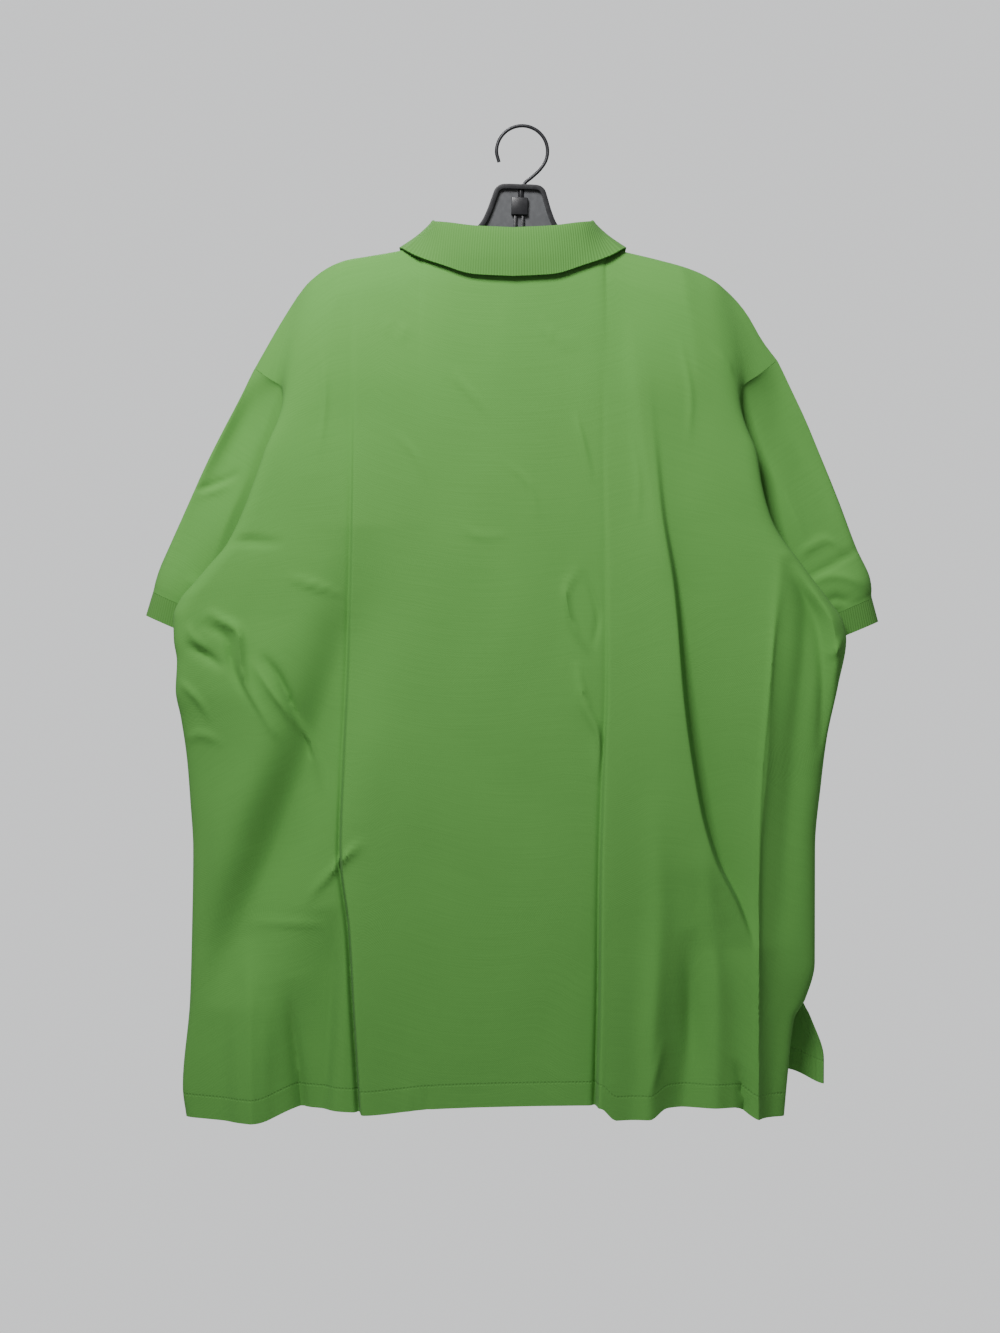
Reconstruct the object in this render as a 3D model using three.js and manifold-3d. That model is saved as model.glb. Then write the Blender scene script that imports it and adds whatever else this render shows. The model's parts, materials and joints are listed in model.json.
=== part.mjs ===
// A short-sleeved polo shirt that hangs on a plastic hanger, seen from its back.
// Millimetres, +Z up. +X is the wearer's right, +Y the wearer's front, so the back faces -Y.
// The origin is the inner top of the hook, where a rail carries it.
import * as THREE from 'three';
import { mergeVertices } from 'three/addons/utils/BufferGeometryUtils.js';
import Module from 'manifold-3d';

const wasm = await Module();
wasm.setup();

// Cloth
const KNIT_WALL = 1.3;
const RIB_WALL = 1.6;
const SEAM_GAP = 0.3;
const CORNER_GAP = 1.2;
const SHIRT_CENTRE = -8;
const BODY_REACH = 38;
const MITRE_LIMIT = 0.8;

// Neck
const NECK = { x: -9, y: 3, halfWidth: 90, halfDepth: 34, collarCentre: -9, drop: 2 };

// Sleeves. Corners are the outer and inner ends of the mouth. Start and end are the headings of the
// cloth at the armhole's top and at the mouth's outer end, and pulls are how far they carry.
const CUFF_HEIGHT = 24;
const SLEEVE_MOUTH = { halfDepth: 28, innerPull: 10, innerEnd: { outward: -0.1, forward: 0.1, up: -0.99 } };
const SLEEVE_LEFT = {
  outward: -1,
  outerCorner: { x: -368.5, y: 0, z: -478 },
  innerCorner: { x: -215, y: 50, z: -545 },
  start: { outward: 0.46, forward: 0, up: -0.89 },
  startPull: 88,
  end: { outward: 0.3, forward: 0, up: -0.95 },
  endPull: 62,
  blouse: 1,
};
const SLEEVE_RIGHT = {
  outward: 1,
  outerCorner: { x: 349, y: 0, z: -484 },
  innerCorner: { x: 192, y: 50, z: -549 },
  start: { outward: 0.46, forward: 0, up: -0.89 },
  startPull: 84,
  end: { outward: 0.27, forward: 0, up: -0.96 },
  endPull: 58,
  blouse: 4,
};
const SLEEVE_BLOUSE = { at: 0.88, width: 0.09 };

// Headings and pulls of a sleeve's cloth round its armhole, from the shoulder down to the underarm.
// Each takes over from the one before it at its own share of the way down.
const SLEEVE_LEAVE = {
  back: { from: 0, over: 0.42, outward: 0.22, forward: 0.85, up: -0.5, pull: 20 },
  front: { from: 0, over: 0.42, outward: 0.85, forward: 0.25, up: -0.5, pull: 34 },
  low: { from: 0.45, over: 0.3, outward: 0.8, forward: 0.42, up: -0.42, pull: 38 },
  foot: { from: 0.84, over: 0.16, outward: 0.3, forward: 0.66, up: -0.7, pull: 24 },
};

// Placket and buttons
const PLACKET = {
  x: -9,
  halfWidth: 16,
  slotHalfWidth: 12,
  slotEnd: 6,
  bottom: -352,
  wall: 1.2,
  lift: 0.35,
  overTop: 1,
  underTop: 3,
};
const BUTTON = { radius: 5.5, thickness: 2.4, rim: 0.6, lift: 0.4, heights: [-222, -292] };

// Hanger and hook
const HANGER = { tiltDegrees: 1.8, rim: 5, thickness: 11, web: 3, webLap: 0.5, bevel: 1.6 };
const HUB = { width: 18, height: 17, depth: 14, top: -68 };
const HUB_RIB = { x: 5, width: 3.5, depth: 9, height: 62, middle: -116 };
const LOOP_TAB = { x: -14, width: 4, depth: 10, height: 12, middle: -58 };
const HOOK = { wire: 1.75, bend: 25, clearance: 0.3, from: -45, to: 205, step: 25 };
const HOOK_STEM = [
  { x: 1, z: -76 },
  { x: 1, z: -64 },
  { x: 2.4, z: -55 },
  { x: 9.6, z: -48.6 },
];

// Shoulder line, from the neck point out to where the sleeve starts
const SHOULDER_LEFT = [
  { x: -99, z: -115 },
  { x: -121.5, z: -121 },
  { x: -150, z: -126 },
  { x: -174.4, z: -130.5 },
  { x: -193, z: -139 },
  { x: -212.7, z: -156 },
  { x: -233.6, z: -186.8 },
  { x: -262, z: -236 },
];
const SHOULDER_RIGHT = [
  { x: 81, z: -115 },
  { x: 96, z: -120.5 },
  { x: 131, z: -129 },
  { x: 163, z: -138 },
  { x: 183, z: -147 },
  { x: 201, z: -160.5 },
  { x: 218.5, z: -180 },
  { x: 236, z: -209.5 },
  { x: 250, z: -228 },
];

// How far the cloth reaches forward at each drop below the shoulder line
const SHOULDER_DRAPE = [
  { drop: 0, reach: 0 },
  { drop: 1.5, reach: 6.5 },
  { drop: 5, reach: 11.5 },
  { drop: 14, reach: 17 },
  { drop: 40, reach: 27 },
  { drop: 90, reach: 34 },
  { drop: 150, reach: 37 },
  { drop: 300, reach: 38 },
];

// Rows of both panels: first by their drop below the shoulder, then by their own height
const UPPER_ROWS = [
  { drop: 0, level: 0, flat: 0, seamShare: 0 },
  { drop: 1.5, level: 0, flat: 0, seamShare: 0.1 },
  { drop: 5, level: 0, flat: 0, seamShare: 0.24 },
  { drop: 14, level: 0, flat: 0, seamShare: 0.42 },
  { drop: 32, level: -190, flat: 0.12, seamShare: 0.62 },
  { drop: 60, level: -222, flat: 0.45, seamShare: 0.82 },
  { drop: 92, level: -257, flat: 0.88, seamShare: 1 },
];
const ARMHOLE_LEVELS = [-280, -306, -336, -368, -398, -424, -445, -462];
const BODY_LEVELS = [-484, -508, -536, -575, -630, -690, -750, -808, -853];
const BACK_TAIL = [0.3, 0.6, 0.85, 1];
const FRONT_TAIL = [0.35, 0.7, 1];
const ARMHOLE_TOP = -257;
const UNDERARM = -462;
const VENT_TOP = -853;
const HEM_LEVEL = -960;

// Width of the bend between a panel's side and its level part, and of the folds' fade beside it
const BEND_INSET = { back: 17, front: 34 };
const FOLD_FADE = { back: 30, front: 60 };

// How the back's turned side leaves the shoulder: drop over which it does, depth of its fold edge
const SIDE_TURN = { drop: 94, foldShare: 0.45, upperReach: 0.95, flatStart: 2 };

// Heights over which a panel's reach at its sides takes over
const SIDE_REACH = { top: -240, blend: 60, least: 6 };

// Edges of the back. The fold is the edge that shows, with the cloth turned behind it to the seam.
// The turn is the cloth's heading at the seam: 0 inwards, 90 away from the viewer.
const BACK_LEFT = [
  { z: -236, foldX: -262, reach: 4, seamX: -262, seamY: 0, turn: 60 },
  { z: -246, foldX: -243, reach: 22, seamX: -249, seamY: -8, turn: 60 },
  { z: -257, foldX: -231, reach: 27, seamX: -234, seamY: -14, turn: 60 },
  { z: -298, foldX: -243, reach: 31, seamX: -229, seamY: -15, turn: 50 },
  { z: -345, foldX: -258.6, reach: 34, seamX: -234, seamY: -15, turn: 45 },
  { z: -381, foldX: -272, reach: 35, seamX: -241, seamY: -15, turn: 40 },
  { z: -411, foldX: -287, reach: 37, seamX: -249, seamY: -15, turn: 35 },
  { z: -430, foldX: -303, reach: 39, seamX: -256, seamY: -15, turn: 30 },
  { z: -449, foldX: -319, reach: 41, seamX: -266, seamY: -15, turn: 20 },
  { z: -462, foldX: -330, reach: 42, seamX: -272.5, seamY: -15, turn: 10 },
  { z: -480, foldX: -337, reach: 43, seamX: -278, seamY: -18, turn: 0 },
  { z: -502, foldX: -336.5, reach: 43, seamX: -284, seamY: -20, turn: 0 },
  { z: -523, foldX: -333.6, reach: 42, seamX: -290, seamY: -20, turn: 0 },
  { z: -551, foldX: -335, reach: 40, seamX: -297, seamY: -19, turn: 0 },
  { z: -578, foldX: -330.6, reach: 34, seamX: -304, seamY: -14, turn: 20 },
  { z: -618, foldX: -325.7, reach: 27, seamX: -312, seamY: -8, turn: 50 },
  { z: -660, foldX: -323, reach: 23, seamX: -318.5, seamY: -3, turn: 80 },
  { z: -705, foldX: -320.7, reach: 20, seamX: -319.5, seamY: 0, turn: 90 },
  { z: -797, foldX: -322.3, reach: 18, seamX: -321.5, seamY: 0, turn: 90 },
  { z: -853, foldX: -324, reach: 18, seamX: -323.5, seamY: 0, turn: 90 },
  { z: -936, foldX: -330.6, reach: 20, seamX: -329, seamY: -5, turn: 80 },
  { z: -967, foldX: -326.7, reach: 20, seamX: -325, seamY: -6, turn: 80 },
];
const BACK_RIGHT = [
  { z: -228, foldX: 250, reach: 4, seamX: 250, seamY: 0, turn: 60 },
  { z: -242, foldX: 228, reach: 20, seamX: 233, seamY: -8, turn: 60 },
  { z: -257, foldX: 211, reach: 27, seamX: 214, seamY: -14, turn: 60 },
  { z: -286, foldX: 216.6, reach: 30, seamX: 208, seamY: -15, turn: 50 },
  { z: -322, foldX: 227.5, reach: 32, seamX: 209, seamY: -15, turn: 45 },
  { z: -353, foldX: 232.4, reach: 34, seamX: 213, seamY: -15, turn: 45 },
  { z: -385, foldX: 241.3, reach: 35, seamX: 219, seamY: -15, turn: 40 },
  { z: -399, foldX: 248.2, reach: 36, seamX: 222, seamY: -15, turn: 35 },
  { z: -426, foldX: 267.9, reach: 38, seamX: 230, seamY: -15, turn: 30 },
  { z: -449, foldX: 285, reach: 40, seamX: 240.5, seamY: -15, turn: 20 },
  { z: -462, foldX: 295, reach: 41, seamX: 246, seamY: -15, turn: 10 },
  { z: -486, foldX: 310, reach: 42, seamX: 254, seamY: -19, turn: 0 },
  { z: -502, foldX: 312.8, reach: 42, seamX: 258, seamY: -20, turn: 0 },
  { z: -546, foldX: 305.4, reach: 38, seamX: 268, seamY: -18, turn: 0 },
  { z: -598, foldX: 295.5, reach: 30, seamX: 279, seamY: -10, turn: 40 },
  { z: -640, foldX: 291, reach: 24, seamX: 285.5, seamY: -4, turn: 75 },
  { z: -705, foldX: 285.6, reach: 20, seamX: 284.6, seamY: 0, turn: 90 },
  { z: -816, foldX: 285.6, reach: 17, seamX: 284.8, seamY: 0, turn: 90 },
  { z: -853, foldX: 276, reach: 16, seamX: 275, seamY: 0, turn: 90 },
  { z: -871, foldX: 265, reach: 18, seamX: 263.5, seamY: -4, turn: 90 },
  { z: -927, foldX: 258.6, reach: 18, seamX: 257.5, seamY: -6, turn: 90 },
  { z: -967, foldX: 255, reach: 18, seamX: 254, seamY: -6, turn: 90 },
];

// Edges of the front: its armhole, then the side seam, then the free edge at the vent
const FRONT_LEFT = [
  { z: -236, seamX: -262, seamY: 0, turn: 60 },
  { z: -246, seamX: -251, seamY: 8, turn: 20 },
  { z: -257, seamX: -243, seamY: 13, turn: 10 },
  { z: -275, seamX: -236, seamY: 18, turn: 0 },
  { z: -298, seamX: -232, seamY: 22, turn: 0 },
  { z: -330, seamX: -232, seamY: 24, turn: 0 },
  { z: -370, seamX: -237, seamY: 21, turn: 0 },
  { z: -400, seamX: -243, seamY: 12, turn: 0 },
  { z: -424, seamX: -250, seamY: 1, turn: 0 },
  { z: -445, seamX: -259, seamY: -8, turn: 0 },
  { z: -462, seamX: -272.5, seamY: -15, turn: 10 },
];
const FRONT_RIGHT = [
  { z: -228, seamX: 250, seamY: 0, turn: 60 },
  { z: -242, seamX: 237, seamY: 8, turn: 20 },
  { z: -257, seamX: 226, seamY: 13, turn: 10 },
  { z: -275, seamX: 217, seamY: 18, turn: 0 },
  { z: -298, seamX: 211, seamY: 22, turn: 0 },
  { z: -330, seamX: 210, seamY: 24, turn: 0 },
  { z: -370, seamX: 214, seamY: 21, turn: 0 },
  { z: -400, seamX: 219, seamY: 12, turn: 0 },
  { z: -424, seamX: 226, seamY: 1, turn: 0 },
  { z: -445, seamX: 235, seamY: -7.5, turn: 0 },
  { z: -462, seamX: 246, seamY: -15, turn: 10 },
];
const FRONT_TAIL_LEFT = [
  { z: -853, seamX: -323.5, seamY: 0, turn: 90 },
  { z: -940, seamX: -320, seamY: 8, turn: 80 },
];
const FRONT_TAIL_RIGHT = [
  { z: -853, seamX: 275, seamY: 0, turn: 90 },
  { z: -871, seamX: 283, seamY: 3, turn: 70 },
  { z: -914, seamX: 297, seamY: 7, turn: 50 },
  { z: -940, seamX: 297, seamY: 8, turn: 50 },
];

// Hem heights along X
const BACK_HEM = [
  { x: -331, z: -965 },
  { x: -257, z: -968 },
  { x: -215, z: -956 },
  { x: -150, z: -958 },
  { x: -90, z: -954 },
  { x: 74, z: -951 },
  { x: 90, z: -963 },
  { x: 122, z: -963 },
  { x: 140, z: -954 },
  { x: 205, z: -954 },
  { x: 229, z: -965 },
  { x: 260, z: -965 },
];
const FRONT_HEM = [
  { x: -330, z: -932 },
  { x: -200, z: -924 },
  { x: 0, z: -920 },
  { x: 230, z: -922 },
  { x: 268, z: -926 },
  { x: 297, z: -938 },
];

// Folds of the back. Rise is towards the viewer, negative where the cloth sinks in.
// Left and right are the widths of a fold's two flanks, sharp is the shape of its crest.
const BACK_FOLDS = [
  {
    name: 'press crease left of centre', left: 7, right: 52, sharp: 1.6,
    path: [
      { z: -170, x: -162, rise: 0 },
      { z: -392, x: -163, rise: 4 },
      { z: -505, x: -167, rise: 6 },
      { z: -620, x: -172, rise: 9 },
      { z: -706, x: -174, rise: 12 },
      { z: -782, x: -166, rise: 15 },
      { z: -858, x: -161, rise: 16 },
      { z: -970, x: -154, rise: 15 },
    ],
  },
  {
    name: 'wide valley at the left', left: 34, right: 38, sharp: 2,
    path: [
      { z: -392, x: -178, rise: 0 },
      { z: -480, x: -190, rise: -8 },
      { z: -562, x: -206, rise: -13 },
      { z: -681, x: -240, rise: -14 },
      { z: -782, x: -276, rise: -8 },
      { z: -860, x: -296, rise: 0 },
    ],
  },
  {
    name: 'hollow beside the left crease', left: 40, right: 10, sharp: 2,
    path: [
      { z: -680, x: -184, rise: 0 },
      { z: -760, x: -182, rise: -9 },
      { z: -858, x: -186, rise: -13 },
      { z: -970, x: -196, rise: -12 },
    ],
  },
  {
    name: 'deep fold at the right, near edge', left: 46, right: 13, sharp: 1.8,
    path: [
      { z: -240, x: 121, rise: 0 },
      { z: -355, x: 130, rise: 6 },
      { z: -443, x: 139, rise: 10 },
      { z: -544, x: 150, rise: 15 },
      { z: -644, x: 163, rise: 17 },
      { z: -726, x: 188, rise: 14 },
      { z: -790, x: 216, rise: 3 },
      { z: -820, x: 222, rise: 0 },
    ],
  },
  {
    name: 'deep fold at the right, far side', left: 15, right: 34, sharp: 2,
    path: [
      { z: -300, x: 146, rise: 0 },
      { z: -400, x: 156, rise: -7 },
      { z: -500, x: 168, rise: -12 },
      { z: -600, x: 178, rise: -15 },
      { z: -700, x: 196, rise: -14 },
      { z: -780, x: 222, rise: -5 },
      { z: -830, x: 230, rise: 0 },
    ],
  },
  {
    name: 'bright ridge near the right side', left: 26, right: 9, sharp: 1.3,
    path: [
      { z: -400, x: 248, rise: 0 },
      { z: -505, x: 240, rise: 8 },
      { z: -644, x: 233, rise: 13 },
      { z: -795, x: 230, rise: 15 },
      { z: -970, x: 228, rise: 16 },
    ],
  },
  {
    name: 'hollow outside the right ridge', left: 12, right: 14, sharp: 2,
    path: [
      { z: -400, x: 262, rise: 0 },
      { z: -480, x: 276, rise: -8 },
      { z: -620, x: 270, rise: -9 },
      { z: -740, x: 256, rise: 0 },
    ],
  },
  {
    name: 'crease right of centre', left: 6, right: 44, sharp: 1.6,
    path: [
      { z: -180, x: 80, rise: 0 },
      { z: -291, x: 77, rise: 3 },
      { z: -443, x: 83, rise: 4 },
      { z: -644, x: 80, rise: 6 },
      { z: -780, x: 77, rise: 9 },
      { z: -900, x: 73, rise: 13 },
      { z: -970, x: 72, rise: 15 },
    ],
  },
  {
    name: 'soft ridge at the lower left', left: 12, right: 12, sharp: 1.6,
    path: [
      { z: -800, x: -262, rise: 0 },
      { z: -880, x: -260, rise: 6 },
      { z: -970, x: -257, rise: 10 },
    ],
  },
];

// Folds of the front, plain soft ones like those of the back
const FRONT_FOLDS = [
  {
    name: 'soft fold at the left', left: 40, right: 26, sharp: 2,
    path: [
      { z: -400, x: -150, rise: 0 },
      { z: -640, x: -176, rise: 9 },
      { z: -940, x: -190, rise: 14 },
    ],
  },
  {
    name: 'soft fold at the right', left: 28, right: 46, sharp: 2,
    path: [
      { z: -380, x: 110, rise: 0 },
      { z: -600, x: 128, rise: 10 },
      { z: -940, x: 150, rise: 13 },
    ],
  },
  {
    name: 'middle hollow', left: 50, right: 44, sharp: 2,
    path: [
      { z: -420, x: -20, rise: 0 },
      { z: -700, x: -30, rise: -6 },
      { z: -940, x: -34, rise: -9 },
    ],
  },
];

// Where the front sinks between the body's side and the sleeve that hangs before it
const ARMPIT_FLAP = {
  left: { inner: -150, outer: -225 },
  right: { inner: 134, outer: 202 },
  y: -21,
  heights: [
    { z: -400, share: 0 },
    { z: -424, share: 0.5 },
    { z: -445, share: 0.85 },
    { z: -462, share: 1 },
    { z: -562, share: 1 },
    { z: -665, share: 0 },
  ],
};

// Collar sections from the centre back round to the front end, mirrored for the other side.
// Edge x and y are measured from the collar's centre line.
const COLLAR_SECTIONS = [
  { angle: 0, seamZ: -124, foldZ: -105, foldIn: 1, edgeX: 0, edgeY: -45, edgeZ: -152.7 },
  { angle: 22, seamZ: -123, foldZ: -103, foldIn: 1, edgeX: 37, edgeY: -43, edgeZ: -150.5 },
  { angle: 45, seamZ: -119.5, foldZ: -98, foldIn: 1, edgeX: 68, edgeY: -37, edgeZ: -141 },
  { angle: 66, seamZ: -115, foldZ: -94, foldIn: 2, edgeX: 95, edgeY: -28, edgeZ: -131 },
  { angle: 80, seamZ: -113.4, foldZ: -92, foldIn: 3, edgeX: 107, edgeY: -17, edgeZ: -123 },
  { angle: 92, seamZ: -113, foldZ: -91, foldIn: 3, edgeX: 110.5, edgeY: 1, edgeZ: -118.2 },
  { angle: 105, seamZ: -116, foldZ: -95, foldIn: 3, edgeX: 110, edgeY: 19, edgeZ: -122 },
  { angle: 122, seamZ: -130, foldZ: -109, foldIn: 2, edgeX: 105, edgeY: 33, edgeZ: -150 },
  { angle: 142, seamZ: -156, foldZ: -136, foldIn: 1, edgeX: 88, edgeY: 45, edgeZ: -206 },
  { angle: 160, seamZ: -178, foldZ: -160, foldIn: 0, edgeX: 66, edgeY: 50, edgeZ: -246 },
  { angle: 176, seamZ: -190, foldZ: -174, foldIn: 0, edgeX: 46, edgeY: 51, edgeZ: -262 },
];

// Hanger outline in its own plane, right half, from the top of its loop to the middle below
const HANGER_UPPER = [
  { x: 18, z: -57 },
  { x: 24, z: -62 },
  { x: 31, z: -80 },
  { x: 39, z: -97 },
  { x: 60, z: -112 },
  { x: 97, z: -121.8 },
  { x: 118, z: -128 },
  { x: 146, z: -133.4 },
  { x: 170, z: -138.8 },
  { x: 186, z: -147 },
  { x: 196, z: -155 },
];
const HANGER_LOWER = [
  { x: 199, z: -161 },
  { x: 194, z: -168 },
  { x: 170, z: -161 },
  { x: 120, z: -153 },
  { x: 60, z: -148 },
  { x: 0, z: -146 },
];

// Shares of the shoulder seam where the bend of its outer part starts and stops
const SHOULDER_BEND = { start: 0.42, end: 0.5 };

// Collar section: drops and offsets of its points from the neck seam and the fold
const COLLAR = {
  seamDrop: 1.6, foldBack: 2, innerIn: 2.6, innerDrop: 4, outerOut: 3, outerDrop: 3.4, fallOut: 2.4,
};

// Sampling
const COUNT = {
  shoulderOuter: 3,
  shoulderBend: 3,
  shoulderInner: 6,
  backNeck: 22,
  frontNeck: 12,
  settleRows: 8,
  collarHalf: 15,
  collarSection: 10,
  placket: 14,
  button: 20,
  wire: 34,
  wireCurve: 4,
};
const BEND_PULL = 0.39;
const CROWDING = { steps: 240, width: 16, weight: 0.14 };
const SLEEVE_ROWS = [0, 0.07, 0.18, 0.34, 0.52, 0.7, 0.88, 1];
const CUFF_ROWS = 2;

const MATERIALS = {
  knit: new THREE.MeshStandardMaterial({ color: 0x6fa35c, roughness: 0.92, metalness: 0 }),
  rib: new THREE.MeshStandardMaterial({ color: 0x67985a, roughness: 0.95, metalness: 0 }),
  button: new THREE.MeshStandardMaterial({ color: 0x7fae6e, roughness: 0.35, metalness: 0 }),
  plastic: new THREE.MeshStandardMaterial({ color: 0x141416, roughness: 0.35, metalness: 0 }),
  wire: new THREE.MeshStandardMaterial({ color: 0x2a2a2c, roughness: 0.35, metalness: 0.9 }),
};

// Small helpers
const vec = (x, y, z) => new THREE.Vector3(x, y, z);
const mix = (a, b, t) => a + (b - a) * t;
const clamp = (t) => Math.min(1, Math.max(0, t));
const ease = (t) => clamp(t) * clamp(t) * (3 - 2 * clamp(t));
const range = (count) => Array.from({ length: count }, (_, index) => index);
const place = (row) => vec(row.x, row.y, row.z);
const heading = (row, outward) => vec(row.outward * outward, row.forward, row.up);

// Value of one column of a table at a key, along a curve that never swings past its rows
function look(table, key, column, at) {
  const rows = table[0][key] <= table[table.length - 1][key] ? table : [...table].reverse();
  const last = rows.length - 1;
  if (at <= rows[0][key]) return rows[0][column];
  if (at >= rows[last][key]) return rows[last][column];
  let i = 0;
  while (rows[i + 1][key] < at) i += 1;
  const slope = (k) => (rows[k + 1][column] - rows[k][column]) / (rows[k + 1][key] - rows[k][key]);
  const tangent = (k) => {
    if (k === 0) return slope(0);
    if (k === last) return slope(last - 1);
    const before = slope(k - 1);
    const after = slope(k);
    return before * after <= 0 ? 0 : (2 * before * after) / (before + after);
  };
  const span = rows[i + 1][key] - rows[i][key];
  const t = (at - rows[i][key]) / span;
  const keep = 2 * t ** 3 - 3 * t ** 2 + 1;
  const leave = t ** 3 - 2 * t ** 2 + t;
  const arrive = t ** 3 - t ** 2;
  const start = rows[i][column] * keep + tangent(i) * span * leave;
  return start + rows[i + 1][column] * (1 - keep) + tangent(i + 1) * span * arrive;
}

// Curve between two points that leaves and arrives in given directions
function bend(from, fromWay, to, toWay, count) {
  const pull = from.distanceTo(to) * BEND_PULL;
  const a = from.clone().addScaledVector(fromWay, pull);
  const b = to.clone().addScaledVector(toWay, -pull);
  return new THREE.CubicBezierCurve3(from, a, b, to).getPoints(count);
}

// Ring of the neck seam: angle 0 is the centre back, 90 the wearer's right, 180 the front
function neckPoint(degrees) {
  const angle = THREE.MathUtils.degToRad(degrees);
  const x = NECK.x + NECK.halfWidth * Math.sin(angle);
  const y = NECK.y - NECK.halfDepth * Math.cos(angle);
  const fromBack = Math.abs(((degrees + 540) % 360) - 180);
  return vec(x, y, look(COLLAR_SECTIONS, 'angle', 'seamZ', fromBack) - NECK.drop);
}

// Heights of the top edge and how far it already reaches from the shoulder plane
function topEdge(face, x) {
  const across = (x - NECK.x) / NECK.halfWidth;
  if (Math.abs(across) < 1) {
    const side = THREE.MathUtils.radToDeg(Math.asin(across));
    const point = neckPoint(face < 0 ? side : 180 - side);
    return { z: point.z, reach: Math.max(0, face * point.y) };
  }
  return { z: look(x < NECK.x ? SHOULDER_LEFT : SHOULDER_RIGHT, 'x', 'z', x), reach: 0 };
}

// One fold's rise at a point of the panel
function foldRise(fold, x, z) {
  const away = x - look(fold.path, 'z', 'x', z);
  const width = away < 0 ? fold.left : fold.right;
  return look(fold.path, 'z', 'rise', z) * Math.exp(-(Math.abs(away / width) ** fold.sharp));
}

const foldsRise = (folds, x, z) => folds.reduce((sum, fold) => sum + foldRise(fold, x, z), 0);

// Reach of the smooth body, without folds: full in the middle, less towards the sides
function smoothReach(face, x, z, edges) {
  const top = topEdge(face, x);
  const drop = Math.max(0, top.z - z);
  const drape = look(SHOULDER_DRAPE, 'drop', 'reach', drop);
  const full = top.reach + (1 - top.reach / BODY_REACH) * drape;
  const half = (edges.right - edges.left) / 2;
  const across = clamp(Math.abs(x - (edges.left + edges.right) / 2) / half);
  const edgeReach = x < SHIRT_CENTRE ? edges.leftReach : edges.rightReach;
  const lower = ease((SIDE_REACH.top - z) / SIDE_REACH.blend);
  return mix(full, mix(full, edgeReach, across ** 4), lower);
}

// The back's point, its folds faded out at the outer edges
function backPoint(x, z, edges) {
  const nearSide = Math.min(x - edges.left, edges.right - x);
  const rise = foldsRise(BACK_FOLDS, x, z) * ease(nearSide / FOLD_FADE.back);
  return vec(x, -smoothReach(-1, x, z, edges) - rise, z);
}

// The front's point, sunk beside the sleeves
function frontPoint(x, z, edges) {
  const nearSide = Math.min(x - edges.left, edges.right - x);
  const rise = foldsRise(FRONT_FOLDS, x, z) * ease(nearSide / FOLD_FADE.front);
  const flap = x < SHIRT_CENTRE ? ARMPIT_FLAP.left : ARMPIT_FLAP.right;
  const sunk = ease((x - flap.inner) / (flap.outer - flap.inner))
    * look(ARMPIT_FLAP.heights, 'z', 'share', z);
  return vec(x, mix(smoothReach(1, x, z, edges) + rise, ARMPIT_FLAP.y, sunk), z);
}

// Shoulder seam from the sleeve to the neck, shared by front and back
function shoulderSeam(left) {
  const table = left ? SHOULDER_LEFT : SHOULDER_RIGHT;
  const points = table.map((row) => vec(row.x, 0, row.z)).reverse();
  const inner = neckPoint(left ? -90 : 90);
  points[points.length - 1].copy(inner);
  const curve = new THREE.CatmullRomCurve3(points, false, 'centripetal');
  const { start, end } = SHOULDER_BEND;
  const outer = range(COUNT.shoulderOuter).map((i) => (start * i) / COUNT.shoulderOuter);
  const middle = range(COUNT.shoulderBend).map((i) => mix(start, end, i / COUNT.shoulderBend));
  const last = range(COUNT.shoulderInner + 1).map((i) => mix(end, 1, i / COUNT.shoulderInner));
  return [...outer, ...middle, ...last].map((share) => curve.getPointAt(share));
}

// All rows of a panel: upper ones follow the shoulder, lower ones are level, the last reach the hem
function rowPlan(face) {
  const level = (z) => ({ drop: 0, level: z, flat: 1, seamShare: 1, tail: 0 });
  const upper = UPPER_ROWS.map((row) => ({ ...row, tail: 0 }));
  const tails = (face < 0 ? BACK_TAIL : FRONT_TAIL).map((tail) => ({ ...level(VENT_TOP), tail }));
  return [...upper, ...ARMHOLE_LEVELS.map(level), ...BODY_LEVELS.map(level), ...tails];
}

function rowHeight(face, row, x) {
  const byDrop = topEdge(face, x).z - row.drop;
  const height = mix(byDrop, row.level, row.flat);
  return mix(height, look(face < 0 ? BACK_HEM : FRONT_HEM, 'x', 'z', x), row.tail);
}

// Places along a row, closer together where folds are steep
function spread(from, to, count, folds, z) {
  const { steps, width, weight: crowd } = CROWDING;
  const total = [0];
  for (let i = 1; i <= steps; i += 1) {
    const x = mix(from, to, (i - 0.5) / steps);
    let weight = 1;
    for (const fold of folds) {
      const rise = Math.abs(look(fold.path, 'z', 'rise', z));
      const away = (x - look(fold.path, 'z', 'x', z)) / width;
      weight += crowd * rise * Math.exp(-(away ** 2));
    }
    total.push(total[i - 1] + weight);
  }
  return range(count + 1).map((k) => {
    const goal = (total[steps] * k) / count;
    let i = 0;
    while (i < steps - 1 && total[i + 1] < goal) i += 1;
    const part = (goal - total[i]) / (total[i + 1] - total[i]);
    return mix(from, to, (i + part) / steps);
  });
}

// Edges of the front below the underarm are those of the back's side seam, down to the vent
function frontEdges(armhole, side, tail) {
  return [...armhole, ...side.filter((row) => row.z < UNDERARM && row.z > VENT_TOP), ...tail];
}

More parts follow.
